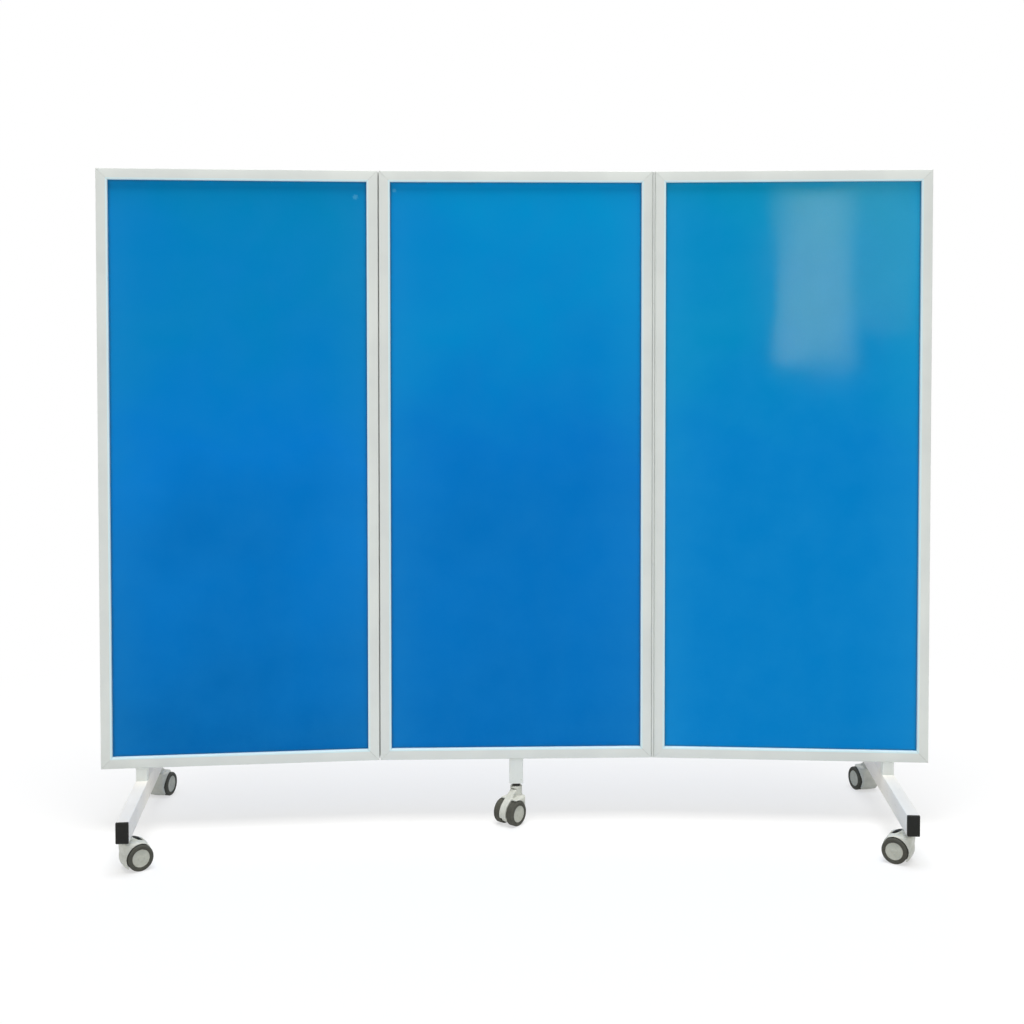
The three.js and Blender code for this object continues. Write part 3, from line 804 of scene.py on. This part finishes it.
def weldBead(shape, middle, width, depth, rise):
    # a rippled fillet round a post; rise is 1 where it lies on the piece below and -1 under the piece above
    outline, _ = oblong(width, depth, footLook["postEdge"], 3)
    walk = []
    for i, point in enumerate(outline):
        onward = outline[(i + 1) % len(outline)]
        parts = max(1, int((onward - point).length / (footLook["beadPitch"] / 3)))
        walk += [point.lerp(onward, k / parts) for k in range(parts)]
    points, travelled, steps = [], 0.0, footLook["beadSteps"]
    for i, point in enumerate(walk):
        onward = walk[(i + 1) % len(walk)]
        ahead = onward - walk[i - 1]
        ahead.normalize()
        out = Vector((ahead.y, -ahead.x))
        ripple = abs(math.sin(math.pi * travelled / footLook["beadPitch"]))
        size = footLook["bead"] * (1 - footLook["beadRipple"] + footLook["beadRipple"] * ripple)
        hidden = point - out * size / 2
        points.append(middle + Vector((hidden.x, hidden.y, -rise * size / 4)))
        for fall, reach, swell in quarter(size, steps):
            swell = 1 + footLook["beadSwell"] * swell
            side = point + out * (size - fall) * swell
            points.append(middle + Vector((side.x, side.y, rise * (size - reach) * swell)))
        travelled += (onward - point).length
    count = steps + 2
    crease = [0.5 if k in (1, steps + 1) else 0.0 for k in range(count)] * len(walk)
    return shape.add(points, gridFaces(len(walk), count, closed=True), crease=crease)


def makePost(name, wing):
    low, high = boxIn(places[wing], name)
    middle, size = (low + high) / 2, high - low
    foot = Vector((middle.x, middle.y, low.z))
    shape = tubeRun(foot, across, back, size.z, size.x, size.y, footLook["postEdge"], footLook["postEnd"])
    weldBead(shape, foot + up * (size.z + footLook["weldGap"]), size.x, size.y, -1)
    if wing != "centre":
        weldBead(shape, foot - up * footLook["weldGap"], size.x, size.y, 1)
    # painted shade: these take the frames' paint, a shade darker than the bars' foot paint, standing for the
    # shade under the panels
    piece(name, "_welded", shape, places[wing], framePaint, bodyOf[wing])


def makeFoot(wing):
    bar = wing + "_foot_bar"
    low, high = boxIn(places[wing], bar)
    middle, size = (low + high) / 2, high - low
    # the run goes from the back to the front, so that across, up and the run make a right-handed set
    start = Vector((middle.x, high.y, middle.z))
    shape = tubeRun(start, across, up, size.y, size.x, size.z, footLook["barEdge"], footLook["endEdge"])
    piece(bar, "_tube", shape, places[wing], footPaint, bodyOf[wing])
    makePlug(wing, "_plug_front", Vector((middle.x, low.y, middle.z)), -1)
    makePlug(wing, "_plug_back", start, 1)
    makePost(wing + "_post", wing)


plugLook = {
    "edge": 1.4 * mm,
    "crown": 0.5 * mm,
    "edgeSteps": 4,
    # where the plug leaves the bar: distance and inset
    "seat": [(0.1 * mm, 0.35 * mm), (0.5 * mm, 0.0)],
    # the domed head: share of the crown below the top, and how much of the outline is left
    "dome": [(1 / 3, 0.872), (0.0, 0.712)],
}


def makePlug(wing, ending, seat, side):
    low, high = boxIn(places[wing], wing + ending)
    outer = low.y if side < 0 else high.y
    head = abs(outer - seat.y)
    outline, edges = oblong(high.x - low.x, high.z - low.z, footLook["barEdge"])
    edge, crown, steps = plugLook["edge"], plugLook["crown"], plugLook["edgeSteps"]
    ones, none = [1.0] * len(outline), [0.0] * len(outline)
    rings = []
    for at, inset in plugLook["seat"]:
        rings.append((at, shrunk(outline, inset), edges if at > inset else ones, ones))
    rings.append((head - crown - edge, outline, edges, none))
    for rise, reach, _ in list(quarter(edge, steps))[1:]:
        rings.append((head - crown - edge + rise, shrunk(outline, edge - reach), ones, none))
    for below, left in plugLook["dome"]:
        rings.append((head - crown * below, [p * left for p in outline], none, none))
    loops = []
    for at, ring, *_ in rings:
        loops.append([seat + Vector((p.x, side * at, p.y)) for p in ring])
    wear, soil = [ring[2] for ring in rings], [ring[3] for ring in rings]
    shape = loft(Shape(), loops, edge=wear, crease=soil)
    black = plastics["plugPlastic"]
    piece(wing + ending, "_moulded", shape, places[wing], black, bodyOf[wing])


legPlugLook = {
    "radius": 11 * mm,
    "bore": 5.5 * mm,
    "edge": 0.8 * mm,
    "lap": 2 * mm,
    "gap": 0.3 * mm,
    "round": 40,
}


def makeLegPlug(name):
    place = places["centre"]
    low, high = boxIn(place, name)
    middle = (low + high) / 2
    base = Vector((middle.x, middle.y, 0))
    leg = boxIn(place, "centre_leg")[0].z
    r, bore, e, lap, gap, steps = legPlugLook.values()
    rows = [(low.z, bore, 0, 0), (low.z, r - e, 0, 0), (low.z + 0.3 * e, r - 0.3 * e, 1, 0)]
    rows += [(low.z + e, r, 0, 0.4), (leg + lap, r, 0, 1), (leg + lap, bore, 0, 0)]
    shape = lathe(Shape(), rows, steps, closed=True)
    shape.points = [tuple(base + Vector(point)) for point in shape.points]
    outline, edges = oblong(high.x - low.x, high.y - low.y, footLook["postEdge"] / 2, 3)
    loops = [[base + Vector((p.x, p.y, z)) for p in outline] for z in (leg + gap, high.z)]
    loft(shape, loops, edge=edges)
    piece(name, "_moulded", shape, place, plastics["plugPlastic"], "centre")


for wing in ("left", "right"):
    makeFoot(wing)
makePost("centre_leg", "centre")
makeLegPlug("centre_leg_plug")
print("feet welded: left, right; leg set under the centre")


# twin-wheel casters; the hood is worked as fields of distance in millimetres, and then skinned

hoodLook = {
    "coreHalf": 10.0,
    "coreRadius": 27.0,
    "spineRadius": 33.5,
    "spineEdge": 3.0,
    "pocketGap": 1.5,
    "wall": 4.5,
    "shellEdge": 8.0,
    "shellCorner": 16.0,
    "neckRadius": 15.0,
    "neckEdge": 1.2,
    "neckLap": 1.0,
    "neckFoot": 8.0,
    "axleGap": 0.3,
    "pinBore": 4.3,
    "pinDepth": 22.0,
    # degrees round the axle
    "tail": 78,
    "brakedTail": 58,
    "crown": 90,
    "front": 165,
    "lead": 220,
    "rampTail": 60,
    "spineEnd": -15,
    "rampDrop": 9.0,
    "slot": {"width": 18.0, "height": 3.6, "depth": 6.0, "drop": 6.0},
    # how softly the forms run into each other
    "blends": {"neck": 4.0, "ramp": 3.0, "halves": 2.0, "corner": 1.0, "pocket": 0.8, "wheels": 0.6},
    "step": 0.9,
    "keep": 0.45,
}
pedalLook = {
    "width": 16.0,
    "thickness": 4.4,
    "tipShare": 0.25,
    "crown": 4.6,
    "hub": 3.2,
    "length": 28.0,
    "sink": 3.4,
    "setback": 3.0,
    "slope": 28,
    "travel": 10,
    "relief": 0.8,
    "open": 40.0,
    "sideGap": 0.3,
    "edge": 0.9,
    "ridges": 5,
    # hundredths of the crest
    "ridgeSpan": (45, 95),
    "ridgeRise": 0.45,
    "ridgeInset": 1.4,
    "ridgeBlend": 0.4,
    "curveSteps": 14,
    "step": 0.45,
    "keep": 0.5,
}
tiny = 1e-9


def smoothMin(first, second, soft):
    share = np.clip(0.5 + 0.5 * (second - first) / soft, 0, 1)
    return second * (1 - share) + first * share - soft * share * (1 - share)


def smoothMax(first, second, soft):
    return -smoothMin(-first, -second, soft)


def rounded(a, b, edge):
    # where two fields meet, with their edge rounded
    a, b = a + edge, b + edge
    return np.minimum(np.maximum(a, b), 0) + np.hypot(np.maximum(a, 0), np.maximum(b, 0)) - edge


def outlineField(u, v, points):
    # signed distance to a closed outline, negative inside
    nearest = np.full(u.shape, np.inf)
    inside = np.zeros(u.shape, bool)
    for (u1, v1), (u2, v2) in zip(points, points[1:] + points[:1]):
        du, dv = u2 - u1, v2 - v1
        long = du * du + dv * dv
        if long < tiny:
            continue
        share = np.clip(((u - u1) * du + (v - v1) * dv) / long, 0, 1)
        nearest = np.minimum(nearest, (u - u1 - share * du) ** 2 + (v - v1 - share * dv) ** 2)
        if abs(dv) > tiny:
            inside ^= ((v1 > v) != (v2 > v)) & (u < du * (v - v1) / dv + u1)
    return np.where(inside, -1, 1) * np.sqrt(nearest)


def arc(centre, radius, fromDegrees, toDegrees, steps=40):
    turns = np.radians(np.linspace(fromDegrees, toDegrees, steps + 1))
    return [(centre[0] + radius * math.cos(t), centre[1] + radius * math.sin(t)) for t in turns]


def skin(field, low, high, step):
    # walks the field's cells and puts one point in each that the surface crosses
    axes = [np.arange(low[k], high[k] + step, step) for k in range(3)]
    value = field(*np.meshgrid(*axes, indexing="ij"))
    counts = [len(a) - 1 for a in axes]
    total = np.zeros(counts + [3])
    hits = np.zeros(counts)
    corners = [(i, j, k) for i in (0, 1) for j in (0, 1) for k in (0, 1)]

    def part(offset):
        return value[tuple(slice(offset[k], offset[k] + counts[k]) for k in range(3))]

    for a in corners:
        for k in range(3):
            if a[k]:
                continue
            b = tuple(1 if n == k else a[n] for n in range(3))
            va, vb = part(a), part(b)
            cross = (va < 0) != (vb < 0)
            share = np.where(cross, va / np.where(cross, va - vb, 1), 0)
            for n in range(3):
                total[..., n] += np.where(cross, a[n] + (share if n == k else 0), 0)
            hits += cross
    used = hits > 0
    number = np.full(counts, -1)
    number[used] = np.arange(used.sum())
    points = (np.argwhere(used) + total[used] / hits[used][:, None]) * step + np.array([a[0] for a in axes])
    faces = []
    for k in range(3):
        i, j = (k + 1) % 3, (k + 2) % 3
        first = np.moveaxis(value, (k, i, j), (0, 1, 2))
        index = np.moveaxis(number, (k, i, j), (0, 1, 2))
        va, vb = first[:-1, 1:-1, 1:-1], first[1:, 1:-1, 1:-1]
        where = np.argwhere((va < 0) != (vb < 0))
        inward = va[tuple(where.T)] < 0
        n, p, q = where.T
        quad = np.stack([index[n, p, q], index[n, p + 1, q], index[n, p + 1, q + 1], index[n, p, q + 1]], 1)
        quad[~inward] = quad[~inward][:, ::-1]
        faces.append(quad)
    return points * mm, np.concatenate(faces)


# how sharply the surface turns where an edge or a hollow starts to show, and over what span it grows
curveLook = {"edge": (0.12, 0.2), "crease": (0.05, 0.15), "sharp": 70}


def curvedPiece(nodeName, ending, skinned, place, material, body, slot, keep):
    # thins a skinned shape where it is flat, and marks its edges and hollows
    points, faces = skinned
    name = nodeName + "_raw"
    raw = put(name, makeMesh(name, points.tolist(), faces.tolist()))
    raw.modifiers.new("thin", "DECIMATE").ratio = keep
    thinned = bpy.data.meshes.new_from_object(raw.evaluated_get(bpy.context.evaluated_depsgraph_get()))
    bpy.data.objects.remove(raw)
    spots = np.array([vertex.co for vertex in thinned.vertices], float)
    pairs = np.array([edge.vertices[:] for edge in thinned.edges])
    normals = np.array([vertex.normal for vertex in thinned.vertices])
    bend = np.zeros(len(spots))
    number = np.zeros(len(spots))
    for a, b in (pairs.T, pairs.T[::-1]):
        gap = spots[b] - spots[a]
        long = np.maximum(np.linalg.norm(gap, axis=1), tiny)
        np.add.at(bend, a, (gap * normals[a]).sum(1) / long)
        np.add.at(number, a, 1)
    bend /= np.maximum(number, 1)
    marks = {}
    for mark, turned in (("edge", -bend), ("crease", bend)):
        start, span = curveLook[mark]
        marks[mark] = np.clip((turned - start) / span, 0, 1).tolist()
    shape = Shape().add(spots.tolist(), [tuple(face.vertices) for face in thinned.polygons], **marks)
    piece(nodeName, ending, shape, place, material, body, curveLook["sharp"])


def hoodSizes(caster):
    # what the hood's forms are built round, in millimetres
    place = casterPlace(caster)
    low, high = (corner / mm for corner in boxIn(place, caster + "_hood"))
    axleLow, axleHigh = (corner / mm for corner in boxIn(place, caster + "_axle"))
    wheelLow, wheelHigh = (corner / mm for corner in boxIn(place, caster + "_wheel_a"))
    radius = (wheelHigh.z - wheelLow.z) / 2
    axle = ((axleLow.y + axleHigh.y) / 2, (axleLow.z + axleHigh.z) / 2)
    tail = arc(axle, hoodLook["spineRadius"], hoodLook["rampTail"], hoodLook["rampTail"], 1)[0]
    start = hoodLook["neckRadius"] - hoodLook["neckLap"]
    fall = (high.z - tail[1]) / (tail[0] - start) * pedalLook["setback"]
    return {
        "place": place,
        "reach": high.y,
        "half": high.x,
        "top": high.z,
        "axle": axle,
        "axleRadius": (axleHigh.z - axleLow.z) / 2,
        "wheel": radius,
        "shell": radius + hoodLook["pocketGap"] + hoodLook["wall"],
        "rampTail": tail,
        "pivot": (start + pedalLook["setback"], high.z - fall - pedalLook["sink"]),
    }


def recessField(x, y, z, pivot):
    # room for the pedal and its travel, along and above the slope that falls away from its pivot
    turn, room = math.radians(pedalLook["slope"]), pedalLook["relief"]
    along = (y - pivot[0]) * math.cos(turn) - (z - pivot[1]) * math.sin(turn)
    above = (y - pivot[0]) * math.sin(turn) + (z - pivot[1]) * math.cos(turn)
    behind, reach = pedalLook["hub"] + room, pedalLook["length"] + room
    drop = pedalLook["thickness"] / 2 + room
    drop += pedalLook["length"] * math.tan(math.radians(pedalLook["travel"]))
    outline = [(-behind, -behind), (reach, -drop), (reach, pedalLook["open"]), (-behind, pedalLook["open"])]
    cut = outlineField(along[0], above[0], outline)[None]
    return np.maximum(cut, np.abs(x) - pedalLook["width"] / 2 - pedalLook["sideGap"])


def hoodField(sizes, braked, tall):
    look, blend = hoodLook, hoodLook["blends"]
    axle, shell, half, top = sizes["axle"], sizes["shell"], sizes["half"], sizes["top"]
    shoulder = axle[1] + shell
    neck, lap = look["neckRadius"], look["neckLap"]
    tail = look["brakedTail"] if braked else look["tail"]
    lead = arc(axle, shell, look["front"], look["lead"])
    shellOutline = arc(axle, shell, tail, look["crown"]) + [(lap - neck, shoulder)] + lead
    shellOutline += arc(axle, shell / 2, look["lead"], tail)
    coreOutline = arc(axle, look["spineRadius"], look["spineEnd"], look["front"]) + lead
    coreOutline += arc(axle, look["coreRadius"], look["lead"] - 360, look["spineEnd"])
    rampTop = top - look["rampDrop"] if tall else top
    rampOutline = [(0, rampTop), (0, shoulder - shell / 2), axle, sizes["rampTail"], (neck - lap, rampTop)]

    def field(x, y, z):
        wide = np.abs(x)

        def slab(outline, reach, edge):
            # an outline seen from the side, given thickness
            return rounded(outlineField(y[0], z[0], outline)[None], wide - reach, edge)

        cover = slab(shellOutline, half, look["shellEdge"])
        corner = rounded(wide - half, lap - neck - y, look["shellCorner"])
        cover = smoothMax(cover, corner, blend["corner"])
        fromAxle, fromPin = np.hypot(y - axle[0], z - axle[1]), np.hypot(x, y)
        pocket = np.maximum(fromAxle - sizes["wheel"] - look["pocketGap"], look["coreHalf"] - wide)
        cover = smoothMax(cover, -pocket, blend["pocket"])
        core = slab(coreOutline, look["coreHalf"], look["spineEdge"])
        ramp = slab(rampOutline, look["coreHalf"], look["spineEdge"])
        height = np.maximum(z - top, shoulder - look["neckFoot"] - z)
        collar = rounded(fromPin - neck, height, look["neckEdge"])
        cover = smoothMin(cover, collar, blend["neck"])
        body = smoothMin(cover, smoothMin(core, ramp, blend["ramp"]), blend["halves"])
        body = smoothMax(body, -pocket, blend["wheels"])
        pinBore = np.minimum(look["pinBore"] - fromPin, z - top + look["pinDepth"])
        axleBore = sizes["axleRadius"] + look["axleGap"] - fromAxle
        for limit in (z - top, wide - half, -neck - y, axleBore, pinBore):
            body = np.maximum(body, limit)
        if braked:
            body = smoothMax(body, -recessField(x, y, z, sizes["pivot"]), blend["pocket"])
        if tall:
            slot = look["slot"]
            window = np.maximum(wide - slot["width"] / 2, np.abs(z - top + slot["drop"]) - slot["height"] / 2)
            body = smoothMax(body, -np.maximum(window, neck - slot["depth"] - y), blend["wheels"])
        return body

    return field


def pedalField():
    look = pedalLook
    reach, thick, hub, crown = look["length"], look["thickness"], look["hub"], look["crown"]

    def curve(first, bend, last, steps=look["curveSteps"]):
        for step in range(steps + 1):
            b = step / steps
            a = 1 - b
            yield tuple(first[k] * a * a + 2 * bend[k] * b * a + last[k] * b * b for k in (0, 1))

    tip = (reach, thick * look["tipShare"])
    outline = arc((0, 0), hub, 90, 270, 16)
    outline += curve((0, -hub), (reach / 2, crown - thick / 2), (reach, -thick / 2))
    outline += curve(tip, (reach / 2, hub + crown), (0, hub))
    crest = list(curve((0, hub), (reach / 2, hub + crown), tip, 100))
    first, last = look["ridgeSpan"]
    ridges = [crest[int(first + (last - first) * k / (look["ridges"] - 1))] for k in range(look["ridges"])]

    def field(x, y, z):
        side = np.abs(x) - look["width"] / 2
        lever = rounded(outlineField(y[0], z[0], outline)[None], side, look["edge"])
        for ridgeY, ridgeZ in ridges:
            rib = np.hypot(y - ridgeY, z - ridgeZ + look["edge"]) - look["edge"] - look["ridgeRise"]
            lever = smoothMin(lever, np.maximum(rib, side + look["ridgeInset"]), look["ridgeBlend"])
        return lever

    return field


wheelLook = {
    "hub": 21.0,
    "sink": 1.4,
    "skin": 5.0,
    "hubWall": 2.0,
    "shoulder": 4.5,
    "shoulderWear": 0.6,
    "shoulderSteps": 8,
    "innerSteps": 5,
    "round": 72,
    "sharp": 50,
    # rows of the tyre: below the outer face, out from the hub's rim, wear, soil
    "tyreSeat": [(2.9, 0.1, 0, 1), (0.9, 0.1, 0, 1), (0.25, 0.7, 1, 0.2), (0.0, 1.6, 0, 0)],
    # a shallow parting line round the tread: from the middle, sunk by, wear, soil
    "tread": [(1.2, 0, 0, 0), (0.6, 0.12, 0, 0.6), (0, 0.2, 0, 1), (-0.6, 0.12, 0, 0.6), (-1.2, 0, 0, 0)],
    # rows of the hub's face: above the sunk disc, radius, wear, soil
    "cap": [(0.2, 0.3, 0, 0), (0.2, 5.0, 0, 0), (0.06, 5.8, 1, 0), (-0.36, 6.2, 0.3, 0.4)],
    "dish": [(-0.5, 6.7, 0, 1), (-0.5, 8.2, 0, 0.1), (-0.35, 16.4, 0, 0), (-0.2, 17.4, 0, 0.7)],
    "rim": [(0.25, 18.2, 0.8, 0), (0.3, 20, 0, 0), (0.1, 20.65, 1, 0), (-0.4, 21, 0.2, 0.8)],
    "back": [(-1.2, 21, 0, 1), (-1.2, 18.8, 0, 1)],
    "insideGap": 0.3,
    "bore": (4.3, 0.3),
    "soiled": (0.5, 1),
}


def tyreRows(radius, half):
    look = wheelLook
    hub, shoulder, wear, inner = look["hub"], look["shoulder"], look["shoulderWear"], look["shoulder"] / 2
    rows = [(half - below, hub + out, *marks) for below, out, *marks in look["tyreSeat"]]
    for rise, reach, edge in quarter(shoulder, look["shoulderSteps"]):
        rows.append((half - shoulder + reach, radius - shoulder + rise, edge * wear, 0))
    rows += [(at, radius - sunk, *marks) for at, sunk, *marks in look["tread"]]
    for fall, reach, edge in quarter(inner, look["innerSteps"]):
        rows.append((inner - half - fall, radius - inner + reach, edge * wear, 0))
    hidden, seated = look["soiled"]
    wall = hub - look["hubWall"]
    return rows + [(-half, wall, 0, hidden), (half - look["tyreSeat"][0][0], wall, 0, seated)]


def hubRows(half):
    look = wheelLook
    face = look["cap"] + look["dish"] + look["rim"] + look["back"]
    rows = [(half - look["sink"] + rise, *rest) for rise, *rest in face]
    inside, floor = look["insideGap"] - half, half - look["skin"]
    bore, middle = look["bore"]
    rest = [(inside, rows[-1][1]), (inside, bore), (floor, bore), (floor, middle)]
    return rows + [(*row, 0, 1) for row in rest]


def makeWheel(caster, label, side):
    look = wheelLook
    wheel = caster + "_wheel_" + label
    place = casterPlace(caster)
    low, high = boxIn(place, wheel)
    radius, half = (high.z - low.z) / 2 / mm, (high.x - low.x) / 2 / mm
    # the wheel's own Z points out along the axle
    out = place.to_3x3() @ (across * side)
    turnOut = out.to_track_quat("Z", "Y").to_matrix().to_4x4()
    turnOut.translation = place @ ((low + high) / 2)
    for ending, rows, closed, material, slot in (
        ("_tyre", tyreRows(radius, half), True, "tyreRubber", "wheel_rubber"),
        ("_hub", hubRows(half), False, "hubPlastic", "grey_plastic"),
    ):
        rows = [(height * mm, r * mm, *marks) for height, r, *marks in rows]
        shape = lathe(Shape(), rows, look["round"], closed)
        piece(wheel, ending, shape, turnOut, plastics[material], wheel, look["sharp"])


stemLook = {"pin": 4.0, "neck": 5.0, "collar": 4.0, "gap": 0.3, "edge": 0.5, "middle": 0.3, "round": 40}


def makeStem(caster, body, sizes):
    stem = caster + "_stem"
    low, high = (corner / mm for corner in boxIn(sizes["place"], stem))
    pin, neck, thick, gap, e, middle, steps = stemLook.values()
    collar, under, over = high.x, sizes["top"] + gap, sizes["top"] + thick - gap
    rows = [(low.z, middle), (low.z, pin - e), (low.z + e, pin), (under, pin)]
    rows += [(under, collar - e), (under + 0.3 * e, collar - 0.3 * e, 1), (under + e, collar)]
    rows += [(over - e, collar), (over - 0.3 * e, collar - 0.3 * e, 1), (over, collar - e)]
    rows += [(over, neck), (high.z - e, neck), (high.z, neck - e), (high.z, middle)]
    rows = [(height * mm, r * mm, sum(wear), 0) for height, r, *wear in rows]
    shape = lathe(Shape(), rows, steps)
    piece(stem, "_turned", shape, sizes["place"], steels["darkSteel"], body)


skins = {}
# room that a skin is walked in, round what it is for
skinRoom = {"hood": 1.5, "tail": 3.0, "floor": 2.0, "pedal": 1}
pedalRoom = {"low": (-5, -6), "high": (30, 8)}


def makeCaster(caster, body):
    sizes = hoodSizes(caster)
    braked = caster + "_pedal" in frame["nodes"]
    tall = caster == "centre_caster"
    kind = (braked, tall)
    if kind not in skins:
        room, half = skinRoom["hood"], sizes["half"]
        low = [-half - room, -hoodLook["neckRadius"] - room, skinRoom["floor"]]
        high = [half + room, sizes["reach"] + skinRoom["tail"], sizes["top"] + room]
        skins[kind] = skin(hoodField(sizes, braked, tall), low, high, hoodLook["step"])
    hood, ride = (caster + "_hood", "_moulded", skins[kind], sizes["place"]), caster + "_swivel"
    curvedPiece(*hood, plastics["hoodPlastic"], ride, "grey_plastic", hoodLook["keep"])
    for label, side in (("a", 1), ("b", -1)):
        makeWheel(caster, label, side)
    makeStem(caster, body, sizes)
    for slot in frame["nodes"][caster + "_axle"].material_slots:
        slot.material = steels["zincPlate"]
    if braked:
        if "pedal" not in skins:
            half = pedalLook["width"] / 2 + skinRoom["pedal"]
            low, high = [-half, *pedalRoom["low"]], [half, *pedalRoom["high"]]
            skins["pedal"] = skin(pedalField(), low, high, pedalLook["step"])
        seat = sizes["place"] @ Matrix.Translation((0, sizes["pivot"][0] * mm, sizes["pivot"][1] * mm))
        seat = seat @ Matrix.Rotation(-math.radians(pedalLook["slope"]), 4, "X")
        ride = caster + "_pedal"
        pedal = (ride, "_ribbed", skins["pedal"], seat)
        curvedPiece(*pedal, plastics["pedalPlastic"], ride, "pedal_plastic", pedalLook["keep"])


for caster, body in casters.items():
    makeCaster(caster, body)
print("casters fitted:", len(casters))


# camera, lights, floor

cameraLook = {
    "place": (-0.1148, -3.5745, 1.3031),
    "turnRight": 0.0292,
    "tiltDown": 0.0305,
    "roll": -0.0004,
    "sensor": 36,
    "focalShare": 1400 / 1024,
    "shiftY": -0.15,
}


def makeCamera(look):
    data = bpy.data.cameras.new("camera")
    data.sensor_width = look["sensor"]
    data.lens = look["focalShare"] * look["sensor"]
    data.shift_y = look["shiftY"]
    turn = Matrix.Rotation(-look["turnRight"], 4, "Z")
    tilt = Matrix.Rotation(math.pi / 2 - look["tiltDown"], 4, "X")
    roll = Matrix.Rotation(look["roll"], 4, "Z")
    camera = put("camera", data, Matrix.Translation(look["place"]) @ turn @ tilt @ roll)
    bpy.context.scene.camera = camera
    return camera


lampLooks = {
    "top": {"place": (0.0, -2.3, 10.0), "aim": (0, 0, 0.4), "size": (6.2, 4.8), "power": 850},
    "front": {"place": (-0.3, -4.8, 1.9), "aim": (0, 0, 0.9), "size": (3.0, 2.4), "power": 22},
    "back": {"place": (0.8, 5.4, 4.2), "aim": (0, 0, 0.9), "size": (3.0, 2.2), "power": 80},
}
worldLook = {"strength": 0.35}
# two bright windows that the right sheet mirrors; each target is a place on that sheet
windowLooks = {
    "windowMain": {"target": (0.056, 1.4), "size": (0.38, 0.94), "power": 42},
    "windowSide": {"target": (0.222, 1.46), "size": (0.36, 0.86), "power": 9.3},
}
windowTone = {"away": 4.2, "light": (0.9, 1.0, 0.4)}


def makeLamp(name, place, aim, size, power):
    data = bpy.data.lights.new(name, "AREA")
    data.shape = "RECTANGLE"
    data.size, data.size_y = size
    data.energy = power
    turn = (Vector(aim) - Vector(place)).to_track_quat("-Z", "Y")
    return put(name, data, Matrix.Translation(place) @ turn.to_matrix().to_4x4())


def makeWindow(name, camera, shinesOn, target, size, power):
    # a small far lamp stands where the right sheet mirrors it toward the camera, and lights that sheet alone
    place = places["right"]
    spot = place @ Vector((target[0], 0, target[1]))
    facing = place.to_3x3() @ -back
    coming = (spot - camera.matrix_world.translation).normalized()
    going = coming - 2 * coming.dot(facing) * facing
    lamp = makeLamp(name, spot + going * windowTone["away"], spot, size, power)
    lamp.data.color = windowTone["light"]
    lamp.light_linking.receiver_collection = shinesOn


def makeWorld(strength):
    world = bpy.data.worlds.new("studio")
    bpy.context.scene.world = world
    world.use_nodes = True
    nodes = Nodes(world.node_tree)
    white = {"Color": (1, 1, 1, 1)}
    plain, bright = (nodes.add("Background", {**white, "Strength": s}).outputs[0] for s in (strength, 1.0))
    both = nodes.add("MixShader", {0: nodes.seen(), 1: plain, 2: bright})
    nodes.add("OutputWorld", {0: both.outputs[0]})


floorLook = {
    "colour": (250, 250, 249),
    "grainColour": (245, 245, 243),
    "grain": (0.004, 3.0, 0.6, 0.3, 0.7, 0.0, 0.25),
    "roughness": 0.75,
    "specular": 0.2,
    "radius": 9.0,
    "hole": 0.01,
    "rings": 24,
    "around": 64,
    # metres from the middle, and how white the floor is there
    "fade": (1.1, 2.3, 0.6, 1.0),
}


def makeFloor(look):
    points = []
    for ring in range(look["rings"] + 1):
        reach = look["radius"] * max(ring, look["hole"]) / look["rings"]
        turns = [2 * math.pi * k / look["around"] for k in range(look["around"])]
        points += [(reach * math.cos(turn), reach * math.sin(turn), 0) for turn in turns]
    faces = gridFaces(look["rings"] + 1, look["around"])
    mesh = makeMesh("floor", points, faces + [tuple(range(look["around"]))])
    paint = Paint("floorPaint")
    paint.coat(look["colour"])
    paint.coat(look["grainColour"], paint.patches(*look["grain"]))
    paint.tree.links.new(paint.base, paint.shader.inputs["Base Color"])
    paint.shader.inputs["Roughness"].default_value = look["roughness"]
    paint.shader.inputs["Specular IOR Level"].default_value = look["specular"]
    # away from the object the floor turns into the white backdrop; near it the shadow is kept, but pale
    reach = paint.add("VectorMath", {0: paint.place}, operation="LENGTH").outputs["Value"]
    white = paint.add("Emission", {"Color": (1, 1, 1, 1), "Strength": 1.0})
    share = paint.times(paint.ranged(reach, *look["fade"]), paint.seen())
    both = paint.add("MixShader", {0: share, 1: paint.shader.outputs[0], 2: white.outputs[0]})
    paint.tree.links.new(both.outputs[0], paint.output.inputs["Surface"])
    mesh.materials.append(paint.material)
    put("floor", mesh)


camera = makeCamera(cameraLook)
for lampName, lampLook in lampLooks.items():
    makeLamp(lampName, **lampLook)
mirror = bpy.data.collections.new("windowMirror")
mirror.objects.link(bpy.data.objects["right_sheet_glossy"])
# the front lamp fills the frames and feet, and leaves the glossy sheets without a patch
filled = bpy.data.collections.new("filledFromFront")
for thing in bpy.context.scene.collection.objects:
    if thing.type == "MESH" and not thing.name.endswith("_sheet_glossy"):
        filled.objects.link(thing)
bpy.data.objects["front"].light_linking.receiver_collection = filled
for windowName, windowLook in windowLooks.items():
    makeWindow(windowName, camera, mirror, **windowLook)
makeWorld(worldLook["strength"])
makeFloor(floorLook)
bpy.context.scene.view_settings.view_transform = "Standard"
print("camera, lights and floor set")
